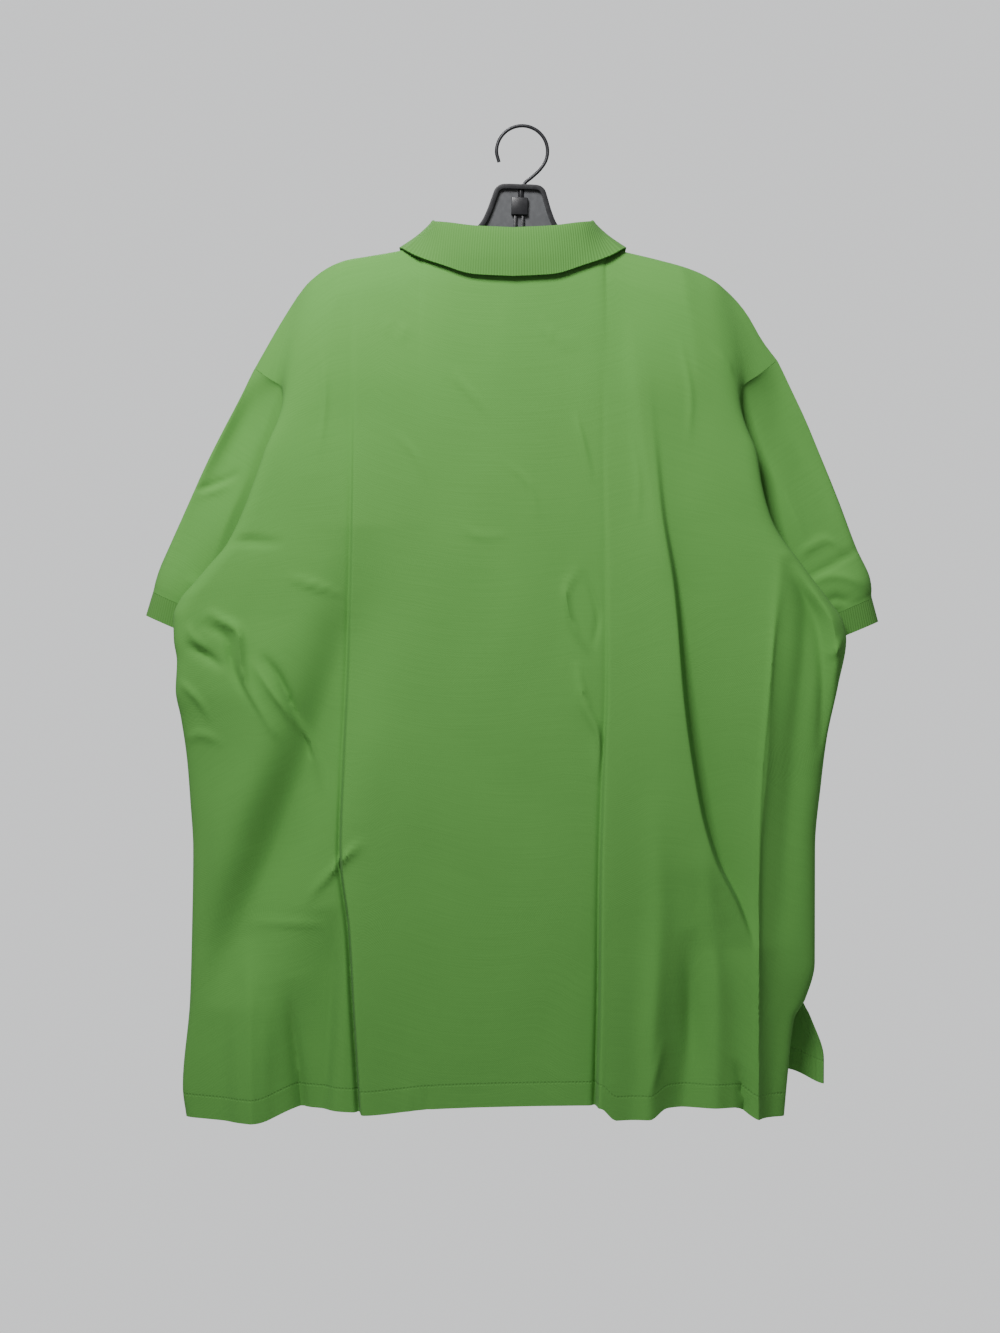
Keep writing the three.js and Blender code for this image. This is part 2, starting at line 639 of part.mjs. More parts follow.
// Grid of the outer surface of the back or the front, a row of points at each height
function panelGrid(face) {
  const seams = { left: shoulderSeam(true), right: shoulderSeam(false) };
  const neckCount = face < 0 ? COUNT.backNeck : COUNT.frontNeck;
  const bendCount = COUNT.shoulderOuter + COUNT.shoulderBend;
  const edgeTables = face < 0
    ? { left: BACK_LEFT, right: BACK_RIGHT }
    : {
      left: frontEdges(FRONT_LEFT, BACK_LEFT, FRONT_TAIL_LEFT),
      right: frontEdges(FRONT_RIGHT, BACK_RIGHT, FRONT_TAIL_RIGHT),
    };
  const neckAngles = range(neckCount + 1).map((i) => -90 + (180 * i) / neckCount);
  const neckRow = neckAngles.map((angle) => neckPoint(face < 0 ? angle : 180 - angle));
  const plan = rowPlan(face);
  return plan.map((row, rowIndex) => {
    if (rowIndex === 0) {
      return [...seams.left.slice(0, -1), ...neckRow, ...[...seams.right].reverse().slice(1)];
    }
    const ends = {
      left: sideEnd(face, row, rowIndex, edgeTables.left, seams.left, -1),
      right: sideEnd(face, row, rowIndex, edgeTables.right, seams.right, 1),
    };
    const edges = {
      left: ends.left.edgeX,
      right: ends.right.edgeX,
      leftReach: ends.left.reach,
      rightReach: ends.right.reach,
    };
    const point = (x) => {
      const z = rowHeight(face, row, x);
      return face < 0 ? backPoint(x, z, edges) : frontPoint(x, z, edges);
    };
    const settle = ease((rowIndex - 1) / COUNT.settleRows);
    const inset = face < 0 ? BEND_INSET.back : BEND_INSET.front;
    const topRow = [
      ...seams.left.slice(bendCount, -1),
      ...neckRow,
      ...[...seams.right].reverse().slice(1, -bendCount),
    ];
    const innerCount = neckCount + 2 * COUNT.shoulderInner;
    const startX = mix(topRow[0].x, ends.left.edgeX + inset, settle);
    const stopX = mix(topRow[innerCount].x, ends.right.edgeX - inset, settle);
    const folds = face < 0 ? BACK_FOLDS : FRONT_FOLDS;
    const even = spread(startX, stopX, innerCount, folds, row.level || topRow[0].z);
    const xs = even.map((x, i) => {
      const share = (topRow[i].x - topRow[0].x) / (topRow[innerCount].x - topRow[0].x);
      return mix(mix(startX, stopX, share), x, settle);
    });
    const middle = xs.map(point);
    const curves = [
      sideCurve(face, ends.left, middle[0], point(startX + 1), bendCount),
      sideCurve(face, ends.right, middle[innerCount], point(stopX - 1), bendCount),
    ];
    if (face > 0) {
      [seams.left, seams.right].forEach((seam, k) => followShoulder(curves[k], seam, point, 1 - settle));
    }
    return [...curves[0].slice(0, -1), ...middle, ...curves[1].reverse().slice(1)];
  });
}

// Moves a side curve of the front so its upper rows follow the ridge of the shoulder
function followShoulder(curve, seam, point, share) {
  const last = curve.length - 1;
  const off = point(curve[0].x).sub(curve[0]);
  for (let i = 1; i < last; i += 1) {
    const reach = (seam[i].x - seam[0].x) / (seam[last].x - seam[0].x);
    const onRidge = point(mix(curve[0].x, curve[last].x, reach));
    curve[i].lerp(onRidge.addScaledVector(off, -((1 - reach) ** 2)), share);
  }
}

// A row's end on one side: its seam point, and for the back the fold edge before it
function sideEnd(face, row, rowIndex, table, seam, outward) {
  let seamZ = row.seamShare < 1 ? mix(seam[0].z, ARMHOLE_TOP, row.seamShare) : row.level;
  if (row.tail > 0) {
    const free = look(table, 'z', 'seamX', HEM_LEVEL);
    seamZ = mix(VENT_TOP, look(face < 0 ? BACK_HEM : FRONT_HEM, 'x', 'z', free), row.tail);
  }
  const turn = THREE.MathUtils.degToRad(look(table, 'z', 'turn', seamZ));
  const point = vec(look(table, 'z', 'seamX', seamZ), look(table, 'z', 'seamY', seamZ), seamZ);
  const alongShoulder = seam[0].clone().sub(seam[1]).normalize();
  const turned = vec(-outward * Math.cos(turn), Math.sin(turn), 0);
  const level = ease(rowIndex / (UPPER_ROWS.length - 1));
  if (face > 0) {
    const way = alongShoulder.clone().lerp(turned.clone().negate(), level).normalize();
    return { point, way, edgeX: point.x, reach: Math.max(SIDE_REACH.least, Math.abs(point.y)) };
  }
  const way = alongShoulder.clone().lerp(turned, level).normalize();
  const edge = seam[COUNT.shoulderOuter];
  const onArmhole = row.seamShare === 1;
  const upperZ = mix(edge.z - row.drop, ARMHOLE_TOP + SIDE_TURN.flatStart, row.flat);
  const drop = edge.z - upperZ;
  const foldX = onArmhole
    ? look(table, 'z', 'foldX', seamZ)
    : mix(edge.x, look(table, 'z', 'foldX', ARMHOLE_TOP), ease(drop / SIDE_TURN.drop));
  const reach = onArmhole
    ? look(table, 'z', 'reach', seamZ)
    : look(SHOULDER_DRAPE, 'drop', 'reach', drop) * SIDE_TURN.upperReach;
  const fold = vec(foldX, mix(-reach, point.y, SIDE_TURN.foldShare), onArmhole ? seamZ : upperZ);
  const foldWay = alongShoulder.clone().lerp(vec(0, 1, 0), level).normalize();
  return { point, way, fold, foldWay, edgeX: foldX, reach };
}

// Points from the seam to the panel's level part, on one side
function sideCurve(face, end, inner, innerNext, count) {
  const outwards = inner.clone().sub(innerNext).normalize();
  if (face > 0) {
    return bend(end.point, end.way.clone().negate(), inner, outwards.clone().negate(), count);
  }
  const behind = bend(end.point, end.way.clone().negate(), end.fold, end.foldWay.clone().negate(),
    COUNT.shoulderOuter);
  const before = bend(end.fold, end.foldWay.clone().negate(), inner, outwards.clone().negate(),
    COUNT.shoulderBend);
  return [...behind.slice(0, -1), ...before];
}

// Ring of a sleeve: down the back's armhole to the underarm, then up the front's
function armholeRing(back, front, left) {
  const count = UPPER_ROWS.length + ARMHOLE_LEVELS.length;
  const pick = (grid) => grid.slice(0, count).map((row) => (left ? row[0] : row[row.length - 1]));
  const down = pick(back);
  const up = pick(front).reverse();
  return { points: [...down, ...up.slice(1, -1)], half: count - 1 };
}

// Middle of a sleeve's mouth
const mouthMiddle = (sleeve) => place(sleeve.outerCorner).lerp(place(sleeve.innerCorner), 0.5);

// One line of a sleeve, from the armhole to its mouth
function sleeveColumn(sleeve, start, share, onBack) {
  const angle = Math.PI * share;
  const middle = mouthMiddle(sleeve);
  const half = place(sleeve.outerCorner).sub(middle);
  const mouth = middle.addScaledVector(half, Math.cos(angle));
  mouth.y += (onBack ? -1 : 1) * SLEEVE_MOUTH.halfDepth * Math.sin(angle);
  const innerEnd = heading(SLEEVE_MOUTH.innerEnd, sleeve.outward);
  const end = heading(sleeve.end, sleeve.outward).lerp(innerEnd, share).normalize();
  const endPull = mix(sleeve.endPull, SLEEVE_MOUTH.innerPull, share);
  const cuffTop = mouth.clone().addScaledVector(end, -CUFF_HEIGHT);
  const leave = heading(sleeve.start, sleeve.outward);
  let pull = sleeve.startPull;
  for (const part of [onBack ? SLEEVE_LEAVE.back : SLEEVE_LEAVE.front, SLEEVE_LEAVE.low, SLEEVE_LEAVE.foot]) {
    const taken = ease((share - part.from) / part.over);
    leave.lerp(heading(part, sleeve.outward), taken);
    pull = mix(pull, part.pull, taken);
  }
  const curve = new THREE.CubicBezierCurve3(
    start,
    start.clone().addScaledVector(leave.normalize(), pull),
    cuffTop.clone().addScaledVector(end, -endPull),
    cuffTop,
  );
  return { curve, cuffTop, mouth };
}

// Grids of a sleeve and its cuff: rows run down the arm, columns run round it
function sleeveGrids(sleeve, ring) {
  const { points, half } = ring;
  const columns = points.map((start, index) => {
    const onBack = index <= half;
    const share = onBack ? index / half : (points.length - index) / half;
    return sleeveColumn(sleeve, start, share, onBack);
  });
  const middle = mouthMiddle(sleeve);
  const sleeveRows = SLEEVE_ROWS.map((share) => columns.map(({ curve }) => {
    const point = curve.getPoint(share);
    const out = point.clone().sub(middle).setZ(0).normalize();
    const away = (share - SLEEVE_BLOUSE.at) / SLEEVE_BLOUSE.width;
    return point.addScaledVector(out, sleeve.blouse * Math.exp(-(away ** 2)));
  }));
  sleeveRows[SLEEVE_ROWS.length - 1] = columns.map(({ cuffTop }) => cuffTop);
  const cuffRows = range(CUFF_ROWS + 1).map((k) => columns.map(({ cuffTop, mouth }) => (
    cuffTop.clone().lerp(mouth, k / CUFF_ROWS))));
  return { sleeve: sleeveRows, cuff: cuffRows };
}

// Grid of the collar: each section runs from the neck seam up, over the fold and down to the edge
function collarGrid() {
  const sections = [];
  const steps = COUNT.collarHalf;
  const lastAngle = COLLAR_SECTIONS[COLLAR_SECTIONS.length - 1].angle;
  for (let k = -steps; k <= steps; k += 1) {
    const side = k < 0 ? -1 : 1;
    const angle = (Math.abs(k) / steps) * lastAngle;
    const value = (column) => look(COLLAR_SECTIONS, 'angle', column, angle);
    const radians = THREE.MathUtils.degToRad(angle);
    const out = vec(side * Math.sin(radians) / NECK.halfWidth, -Math.cos(radians) / NECK.halfDepth, 0)
      .normalize();
    const ring = neckPoint(side * angle);
    const seam = ring.clone().addScaledVector(out, -KNIT_WALL);
    seam.z = value('seamZ') - COLLAR.seamDrop;
    const fold = ring.clone().addScaledVector(out, value('foldIn') - COLLAR.foldBack);
    fold.z = value('foldZ');
    const edge = vec(NECK.collarCentre + side * value('edgeX'), value('edgeY'), value('edgeZ'));
    const inner = fold.clone().addScaledVector(out, -COLLAR.innerIn);
    inner.z -= COLLAR.innerDrop;
    const outer = fold.clone().addScaledVector(out, COLLAR.outerOut);
    outer.z -= COLLAR.outerDrop;
    const fall = outer.clone().lerp(edge, 0.5).addScaledVector(out, COLLAR.fallOut);
    const points = [seam, inner, fold, outer, fall, edge];
    const curve = new THREE.CatmullRomCurve3(points, false, 'centripetal');
    sections.push(curve.getPoints(COUNT.collarSection));
  }
  return sections;
}

// Outward normals of a grid of points
function gridNormals(grid, ring, flip) {
  const rows = grid.length;
  const columns = grid[0].length;
  return grid.map((row, i) => row.map((_, j) => {
    const down = grid[Math.min(rows - 1, i + 1)][j].clone().sub(grid[Math.max(0, i - 1)][j]);
    const next = ring ? (j + 1) % columns : Math.min(columns - 1, j + 1);
    const before = ring ? (j + columns - 1) % columns : Math.max(0, j - 1);
    const across = grid[i][next].clone().sub(grid[i][before]);
    return down.cross(across).multiplyScalar(flip).normalize();
  }));
}

// Pieces that share a seam share its normals, so their edges meet along one mitre
function joinSeams(pieces) {
  const key = (p) => [p.x, p.y, p.z].map((value) => Math.round(value * 20)).join(' ');
  const shared = new Map();
  for (const piece of pieces) {
    piece.normals = gridNormals(piece.grid, piece.ring, piece.flip);
    piece.grid.forEach((row, i) => row.forEach((point, j) => {
      const meeting = shared.get(key(point)) ?? { sum: vec(0, 0, 0), pieces: 0 };
      meeting.sum.add(piece.normals[i][j]);
      meeting.pieces += 1;
      shared.set(key(point), meeting);
    }));
  }
  for (const piece of pieces) {
    piece.corner = (point) => shared.get(key(point)).pieces > 2;
    piece.offsets = piece.grid.map((row, i) => row.map((point, j) => {
      const way = shared.get(key(point)).sum.clone().normalize();
      return way.multiplyScalar(-1 / Math.max(MITRE_LIMIT, way.dot(piece.normals[i][j])));
    }));
  }
}

// Closed wall through a grid of outer points, without the cells that keep leaves out
function wallGeometry(piece, wall, keep = () => true) {
  const { grid, offsets, ring } = piece;
  const rows = grid.length;
  const columns = grid[0].length;
  const span = ring ? columns : columns - 1;
  const outer = [];
  const inner = [];
  grid.forEach((row, i) => row.forEach((point, j) => {
    const pull = vec(0, 0, 0);
    if (i === 0) pull.add(grid[1][j].clone().sub(point).normalize());
    if (i === rows - 1) pull.add(grid[i - 1][j].clone().sub(point).normalize());
    if (!ring && j === 0) pull.add(row[1].clone().sub(point).normalize());
    if (!ring && j === columns - 1) pull.add(row[j - 1].clone().sub(point).normalize());
    const gap = piece.corner(point) ? CORNER_GAP : SEAM_GAP;
    const near = point.clone().addScaledVector(pull, gap / 2);
    outer.push(near);
    inner.push(near.clone().addScaledVector(offsets[i][j], wall));
  }));
  const at = (i, j) => i * columns + (j % columns);
  const kept = (i, j) => {
    if (i < 0 || i >= rows - 1) return false;
    if (!ring && (j < 0 || j >= span)) return false;
    return keep(i, (j + span) % span);
  };
  const positions = [];
  const quad = (a, b, c, d) => {
    const corners = piece.flip > 0 ? [a, b, c, a, c, d] : [a, c, b, a, d, c];
    corners.forEach((point) => positions.push(point.x, point.y, point.z));
  };
  for (let i = 0; i < rows - 1; i += 1) {
    for (let j = 0; j < span; j += 1) {
      if (!kept(i, j)) continue;
      const [a, b, c, d] = [at(i, j), at(i + 1, j), at(i + 1, j + 1), at(i, j + 1)];
      quad(outer[a], outer[b], outer[c], outer[d]);
      quad(inner[d], inner[c], inner[b], inner[a]);
      if (!kept(i - 1, j)) quad(outer[d], inner[d], inner[a], outer[a]);
      if (!kept(i + 1, j)) quad(outer[b], inner[b], inner[c], outer[c]);
      if (!kept(i, j - 1)) quad(outer[a], inner[a], inner[b], outer[b]);
      if (!kept(i, j + 1)) quad(outer[c], inner[c], inner[d], outer[d]);
    }
  }
  return new THREE.BufferGeometry()
    .setAttribute('position', new THREE.Float32BufferAttribute(positions, 3));
}

function named(name, geometry, material) {
  geometry.computeVertexNormals();
  const mesh = new THREE.Mesh(geometry, material);
  mesh.name = name;
  return mesh;
}

// Solids for boolean cuts and joins
function toSolid(geometry) {
  const bare = geometry.clone();
  bare.deleteAttribute('normal');
  bare.deleteAttribute('uv');
  const merged = mergeVertices(bare, 1e-4);
  const triVerts = new Uint32Array(merged.index.array);
  const vertProperties = merged.attributes.position.array;
  return new wasm.Manifold(new wasm.Mesh({ numProp: 3, vertProperties, triVerts }));
}

function fromSolid(solid) {
  const mesh = solid.getMesh();
  const geometry = new THREE.BufferGeometry();
  geometry.setAttribute('position', new THREE.Float32BufferAttribute(mesh.vertProperties, 3));
  geometry.setIndex(new THREE.Uint32BufferAttribute(mesh.triVerts, 1));
  return geometry.toNonIndexed();
}

// Placket bands: strips of the front's own points, moved out or in
function placketBand(front, outwards) {
  const middleColumn = Math.round((front.grid[0].length - 1) / 2);
  const firstBelow = front.grid.findIndex((row) => row[middleColumn].z < PLACKET.bottom);
  const levelRows = front.grid.slice(0, firstBelow + 1);
  const steps = COUNT.placket;
  const pointAt = (x, row) => {
    let j = 0;
    while (row[j + 1].x < x) j += 1;
    return row[j].clone().lerp(row[j + 1], (x - row[j].x) / (row[j + 1].x - row[j].x));
  };
  const across = [-1, -0.5, 0, 0.5, 1].map((side) => PLACKET.x + side * PLACKET.halfWidth);
  const lines = across.map((x) => levelRows.map((row) => pointAt(x, row)));
  const grid = range(steps + 1).map((k) => lines.map((line) => {
    const top = line[0].z - (outwards ? PLACKET.overTop : PLACKET.underTop);
    const z = mix(top, PLACKET.bottom, k / steps);
    let i = 0;
    while (line[i + 1].z > z) i += 1;
    return line[i].clone().lerp(line[i + 1], (line[i].z - z) / (line[i].z - line[i + 1].z));
  }));
  const piece = { grid, ring: false, flip: front.flip };
  joinSeams([piece]);
  const shift = outwards ? PLACKET.lift + PLACKET.wall : -(KNIT_WALL + PLACKET.lift);
  piece.grid = grid.map((row, i) => row.map((point, j) => (
    point.clone().addScaledVector(piece.offsets[i][j], -shift))));
  joinSeams([piece]);
  return piece;
}

// A button: a disc with a raised rim, its back against the placket
function buttonGeometry() {
  const { radius, thickness, rim } = BUTTON;
  const profile = [
    new THREE.Vector2(0, 0),
    new THREE.Vector2(radius - rim, 0),
    new THREE.Vector2(radius, rim),
    new THREE.Vector2(radius, thickness - rim),
    new THREE.Vector2(radius - rim, thickness),
    new THREE.Vector2(radius - 2 * rim, thickness - rim / 2),
    new THREE.Vector2(0, thickness - rim / 2),
  ];
  return new THREE.LatheGeometry(profile, COUNT.button);
}

// A button at the first row of the band below a height
function placeButton(name, band, height) {
  const middle = (band.grid[0].length - 1) / 2;
  let i = 0;
  while (band.grid[i + 1][middle].z > height) i += 1;
  const point = band.grid[i][middle].clone().lerp(band.grid[i + 1][middle], 0.5);
  const out = band.offsets[i][middle].clone().negate().normalize();
  const mesh = named(name, buttonGeometry(), MATERIALS.button);
  mesh.quaternion.setFromUnitVectors(vec(0, 1, 0), out);
  mesh.position.copy(point.addScaledVector(out, BUTTON.lift));
  return mesh;
}

// Outline of the hanger, moved inwards by an inset
function hangerShape(inset) {
  const right = [...HANGER_UPPER, ...HANGER_LOWER];
  const left = [...right].reverse().slice(1).map((row) => ({ x: -row.x, z: row.z }));
  const points = [...right, ...left].map((row) => new THREE.Vector2(row.x, row.z));
  const count = points.length;
  const moved = points.map((point, i) => {
    const before = points[(i + count - 1) % count];
    const after = points[(i + 1) % count];
    const first = point.clone().sub(before).normalize();
    const second = after.clone().sub(point).normalize();
    const way = new THREE.Vector2(first.y + second.y, -first.x - second.x).normalize();
    const side = new THREE.Vector2(second.y, -second.x);
    return point.clone().addScaledVector(way, inset / Math.max(0.5, way.dot(side)));
  });
  return new THREE.Shape(moved);
}

// A shape of the XZ plane, thickened along Y about the middle
function plate(shape, thickness, bevel) {
  const geometry = new THREE.ExtrudeGeometry(shape, {
    depth: thickness - 2 * bevel,
    bevelEnabled: bevel > 0,
    bevelThickness: bevel,
    bevelSize: bevel,
    bevelOffset: -bevel,
    bevelSegments: 1,
  });
  geometry.translate(0, 0, bevel - thickness / 2);
  return geometry.rotateX(Math.PI / 2);
}

function block(size, x, z) {
  return new THREE.BoxGeometry(size.width, size.depth, size.height).translate(x, 0, z);
}

// Path of the hook's wire: up out of the hub, slanted to the side, then round over the rail
function hookPath() {
  const centre = vec(0, 0, HOOK.wire - HOOK.bend);
  const onBend = (degrees) => {
    const angle = THREE.MathUtils.degToRad(degrees);
    return vec(HOOK.bend * Math.cos(angle), 0, HOOK.bend * Math.sin(angle)).add(centre);
  };
  const points = HOOK_STEM.map((row) => vec(row.x, 0, row.z));
  for (let degrees = HOOK.from; degrees <= HOOK.to; degrees += HOOK.step) points.push(onBend(degrees));
  return new THREE.CatmullRomCurve3(points, false, 'centripetal');
}

function wireGeometry(radius) {
  const section = new THREE.Shape();
  section.absarc(0, 0, radius, 0, Math.PI * 2);
  return new THREE.ExtrudeGeometry(section, {
    steps: COUNT.wire, curveSegments: COUNT.wireCurve, extrudePath: hookPath(),
  });
}

// The hanger in one piece, tilted as it hangs: rim, web, hub and ribs, with a bore for the wire
function hangerGeometry() {
  const whole = toSolid(plate(hangerShape(0), HANGER.thickness, HANGER.bevel));
  const pocket = toSolid(plate(hangerShape(HANGER.rim), HANGER.thickness * 2, 0));
  const web = toSolid(plate(hangerShape(HANGER.rim - HANGER.webLap), HANGER.web, 0));
  const hub = toSolid(block(HUB, 0, HUB.top - HUB.height / 2));
  const tab = toSolid(block(LOOP_TAB, LOOP_TAB.x, LOOP_TAB.middle)).intersect(whole);
  const ribs = [-HUB_RIB.x, HUB_RIB.x].map((x) => toSolid(block(HUB_RIB, x, HUB_RIB.middle)));
  const body = [web, hub, tab, ...ribs].reduce((sum, part) => sum.add(part), whole.subtract(pocket));
  const tilt = new THREE.Matrix4().makeRotationY(THREE.MathUtils.degToRad(HANGER.tiltDegrees));
  const tilted = toSolid(fromSolid(body).applyMatrix4(tilt));
  return fromSolid(tilted.subtract(toSolid(wireGeometry(HOOK.wire + HOOK.clearance))));
}

// Assembly
const back = { grid: panelGrid(-1), ring: false, flip: 1 };
const front = { grid: panelGrid(1), ring: false, flip: -1 };
const leftSleeve = sleeveGrids(SLEEVE_LEFT, armholeRing(back.grid, front.grid, true));
const rightSleeve = sleeveGrids(SLEEVE_RIGHT, armholeRing(back.grid, front.grid, false));
const sleeveLeft = { grid: leftSleeve.sleeve, ring: true, flip: 1 };
const sleeveRight = { grid: rightSleeve.sleeve, ring: true, flip: -1 };
const cuffLeft = { grid: leftSleeve.cuff, ring: true, flip: 1 };
const cuffRight = { grid: rightSleeve.cuff, ring: true, flip: -1 };
joinSeams([back, front, sleeveLeft, sleeveRight, cuffLeft, cuffRight]);
const collar = { grid: collarGrid(), ring: false, flip: 1 };
joinSeams([collar]);
const overBand = placketBand(front, true);
const underBand = placketBand(front, false);

// The front is slit under the placket bands
function besideSlot(i, j) {
  const corners = [front.grid[i][j], front.grid[i][j + 1], front.grid[i + 1][j]];
  const inWidth = corners.every((point) => Math.abs(point.x - PLACKET.x) < PLACKET.slotHalfWidth);
  const inHeight = front.grid[i + 1][j].z > PLACKET.bottom + PLACKET.slotEnd;
  return !(inWidth && inHeight);
}

const shirt = new THREE.Group();
shirt.add(
  named('back', wallGeometry(back, KNIT_WALL), MATERIALS.knit),
  named('front', wallGeometry(front, KNIT_WALL, besideSlot), MATERIALS.knit),
  named('sleeve_left', wallGeometry(sleeveLeft, KNIT_WALL), MATERIALS.knit),
  named('sleeve_right', wallGeometry(sleeveRight, KNIT_WALL), MATERIALS.knit),
  named('cuff_left', wallGeometry(cuffLeft, RIB_WALL), MATERIALS.rib),
  named('cuff_right', wallGeometry(cuffRight, RIB_WALL), MATERIALS.rib),
  named('collar', wallGeometry(collar, RIB_WALL), MATERIALS.rib),
  named('placket_over', wallGeometry(overBand, PLACKET.wall), MATERIALS.knit),
  named('placket_under', wallGeometry(underBand, PLACKET.wall), MATERIALS.knit),
  placeButton('button_top', overBand, BUTTON.heights[0]),
  placeButton('button_low', overBand, BUTTON.heights[1]),
);

const carrier = new THREE.Group();
carrier.add(
  named('hanger', hangerGeometry(), MATERIALS.plastic),
  named('hook', wireGeometry(HOOK.wire), MATERIALS.wire),
);

const model = new THREE.Group();
model.add(shirt, carrier);

export default model;
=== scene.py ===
"""Short-sleeved polo shirt on a plastic hanger, seen from its back, dressed over its solids."""

import json
import logging
import math
from collections.abc import Sequence
from dataclasses import dataclass
from enum import Enum

import bpy
import numpy as np
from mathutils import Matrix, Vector

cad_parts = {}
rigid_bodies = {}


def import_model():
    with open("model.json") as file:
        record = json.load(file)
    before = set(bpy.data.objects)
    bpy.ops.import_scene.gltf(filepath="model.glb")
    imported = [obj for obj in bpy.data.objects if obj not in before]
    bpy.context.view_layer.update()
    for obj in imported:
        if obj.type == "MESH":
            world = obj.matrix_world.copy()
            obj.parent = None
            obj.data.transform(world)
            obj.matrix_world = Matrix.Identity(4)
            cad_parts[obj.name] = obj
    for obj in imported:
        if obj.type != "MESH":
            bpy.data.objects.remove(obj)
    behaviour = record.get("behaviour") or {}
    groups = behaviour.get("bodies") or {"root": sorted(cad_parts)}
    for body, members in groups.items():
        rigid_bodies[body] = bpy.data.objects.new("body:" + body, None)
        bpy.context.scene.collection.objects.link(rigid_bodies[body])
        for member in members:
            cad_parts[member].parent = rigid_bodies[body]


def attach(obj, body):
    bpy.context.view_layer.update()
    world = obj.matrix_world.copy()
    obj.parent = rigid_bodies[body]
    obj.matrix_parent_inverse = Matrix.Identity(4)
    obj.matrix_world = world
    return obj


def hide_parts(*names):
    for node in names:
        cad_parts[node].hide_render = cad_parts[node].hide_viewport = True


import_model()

log = logging.getLogger("polo_shirt")
Array = np.ndarray
Socket = bpy.types.NodeSocket
MM = 0.001


def curve(keys: Array, values: Array, at: Array | float) -> Array:
    """Reads a smooth curve through points that never swings past them.

    Args:
        keys: Rising keys of the points.
        values: The points' values.
        at: Keys to read the curve at.

    Returns:
        The curve's values, held level past both ends.
    """
    at = np.clip(np.asarray(at, float), keys[0], keys[-1])
    index = np.clip(np.searchsorted(keys, at, side="right") - 1, 0, len(keys) - 2)
    spans = np.diff(keys)
    slopes = np.diff(values) / spans
    before, after = slopes[:-1], slopes[1:]
    rising = before * after > 0
    total = np.where(rising, before + after, 1.0)
    inner = np.where(rising, 2 * before * after / total, 0.0)
    tangents = np.concatenate([slopes[:1], inner, slopes[-1:]])
    span = spans[index]
    t = (at - keys[index]) / span
    keep = 2 * t**3 - 3 * t**2 + 1
    leave = (t**3 - 2 * t**2 + t) * span * tangents[index]
    arrive = (t**3 - t**2) * span * tangents[index + 1]
    return values[index] * keep + values[index + 1] * (1 - keep) + leave + arrive


class Table:
    """Rows of sizes in millimetres, read along the first column."""

    def __init__(self, columns: str, rows: Sequence[Sequence[float]]) -> None:
        """Keeps the rows in rising order.

        Args:
            columns: Names of the columns, with spaces between them.
            rows: The rows.
        """
        values = np.array(rows, float)
        if values[0, 0] > values[-1, 0]:
            values = values[::-1]
        self.names = columns.split()
        self.values = values

    def at(self, column: str, key: Array | float) -> Array:
        """Returns a column's values at some keys."""
        return curve(self.values[:, 0], self.values[:, self.names.index(column)], key)


@dataclass(frozen=True)
class Fold:
    """A long fold of a panel. Its rise is towards the outside, negative where the cloth sinks."""

    name: str
    left: float
    right: float
    sharp: float
    path: tuple[tuple[float, float, float], ...]

    def table(self) -> Table:
        """Returns the fold's path as a table."""
        return Table("z x rise", self.path)

    def rise(self, x: Array, z: Array) -> Array:
        """Returns how far the fold lifts the cloth at some places of the panel."""
        path = self.table()
        away = x - path.at("x", z)
        width = np.where(away < 0, self.left, self.right)
        return path.at("rise", z) * np.exp(-(np.abs(away / width) ** self.sharp))


@dataclass(frozen=True)
class Crease:
    """A short crease along any line. Its rows are x, z and rise, its flanks lie left and right of its way."""

    left: float
    right: float
    path: tuple[tuple[float, float, float], ...]
    sharp: float = 1.4

    def rise(self, x: Array, z: Array) -> Array:
        """Returns how far the crease lifts the cloth at some places of the panel."""
        line = resample(np.array(self.path, float), 8)
        nearest = np.full(x.shape, np.inf)
        lift = np.zeros(x.shape)
        reach = 3 * max(self.left, self.right)
        low, high = line.min(axis=0) - reach, line.max(axis=0) + reach
        near = (x > low[0]) & (x < high[0]) & (z > low[1]) & (z < high[1])
        px, pz = x[near], z[near]
        best, value = nearest[near], lift[near]
        for start, stop in zip(line[:-1], line[1:]):
            way = stop[:2] - start[:2]
            length = float(np.hypot(*way))
            along = np.clip(((px - start[0]) * way[0] + (pz - start[1]) * way[1]) / length**2, 0, 1)
            off = np.stack([px - start[0] - along * way[0], pz - start[1] - along * way[1]])
            away = np.hypot(off[0], off[1])
            side = way[0] * off[1] - way[1] * off[0]
            width = np.where(side > 0, self.left, self.right)
            height = start[2] + (stop[2] - start[2]) * along
            closer = away < best
            value = np.where(closer, height * np.exp(-((away / width) ** self.sharp)), value)
            best = np.where(closer, away, best)
        lift[near] = value
        return lift


def resample(points: Array, steps: int) -> Array:
    """Runs a rounded line through points, more finely sampled."""
    count = len(points)
    padded = np.vstack([2 * points[0] - points[1], points, 2 * points[-1] - points[-2]])
    found = []
    for i in range(count - 1):
        p0, p1, p2, p3 = padded[i : i + 4]
        knots = [max(1e-6, float(np.linalg.norm(b - a)) ** 0.5) for a, b in ((p0, p1), (p1, p2), (p2, p3))]
        d0, d1, d2 = knots
        leave = ((p1 - p0) / d0 - (p2 - p0) / (d0 + d1) + (p2 - p1) / d1) * d1
        arrive = ((p2 - p1) / d1 - (p3 - p1) / (d1 + d2) + (p3 - p2) / d2) * d1
        for t in np.arange(steps) / steps:
            found.append(
                p1
                + leave * t
                + (3 * (p2 - p1) - 2 * leave - arrive) * t**2
                + (2 * (p1 - p2) + leave + arrive) * t**3
            )
    found.append(points[-1])
    return np.array(found)


# Cloth, in millimetres
KNIT_WALL = 1.3
RIB_WALL = 1.6
SEAM_GAP = 0.12
SHIRT_CENTRE = -8
BODY_REACH = 38

# Sleeves
CUFF_HEIGHT = 24

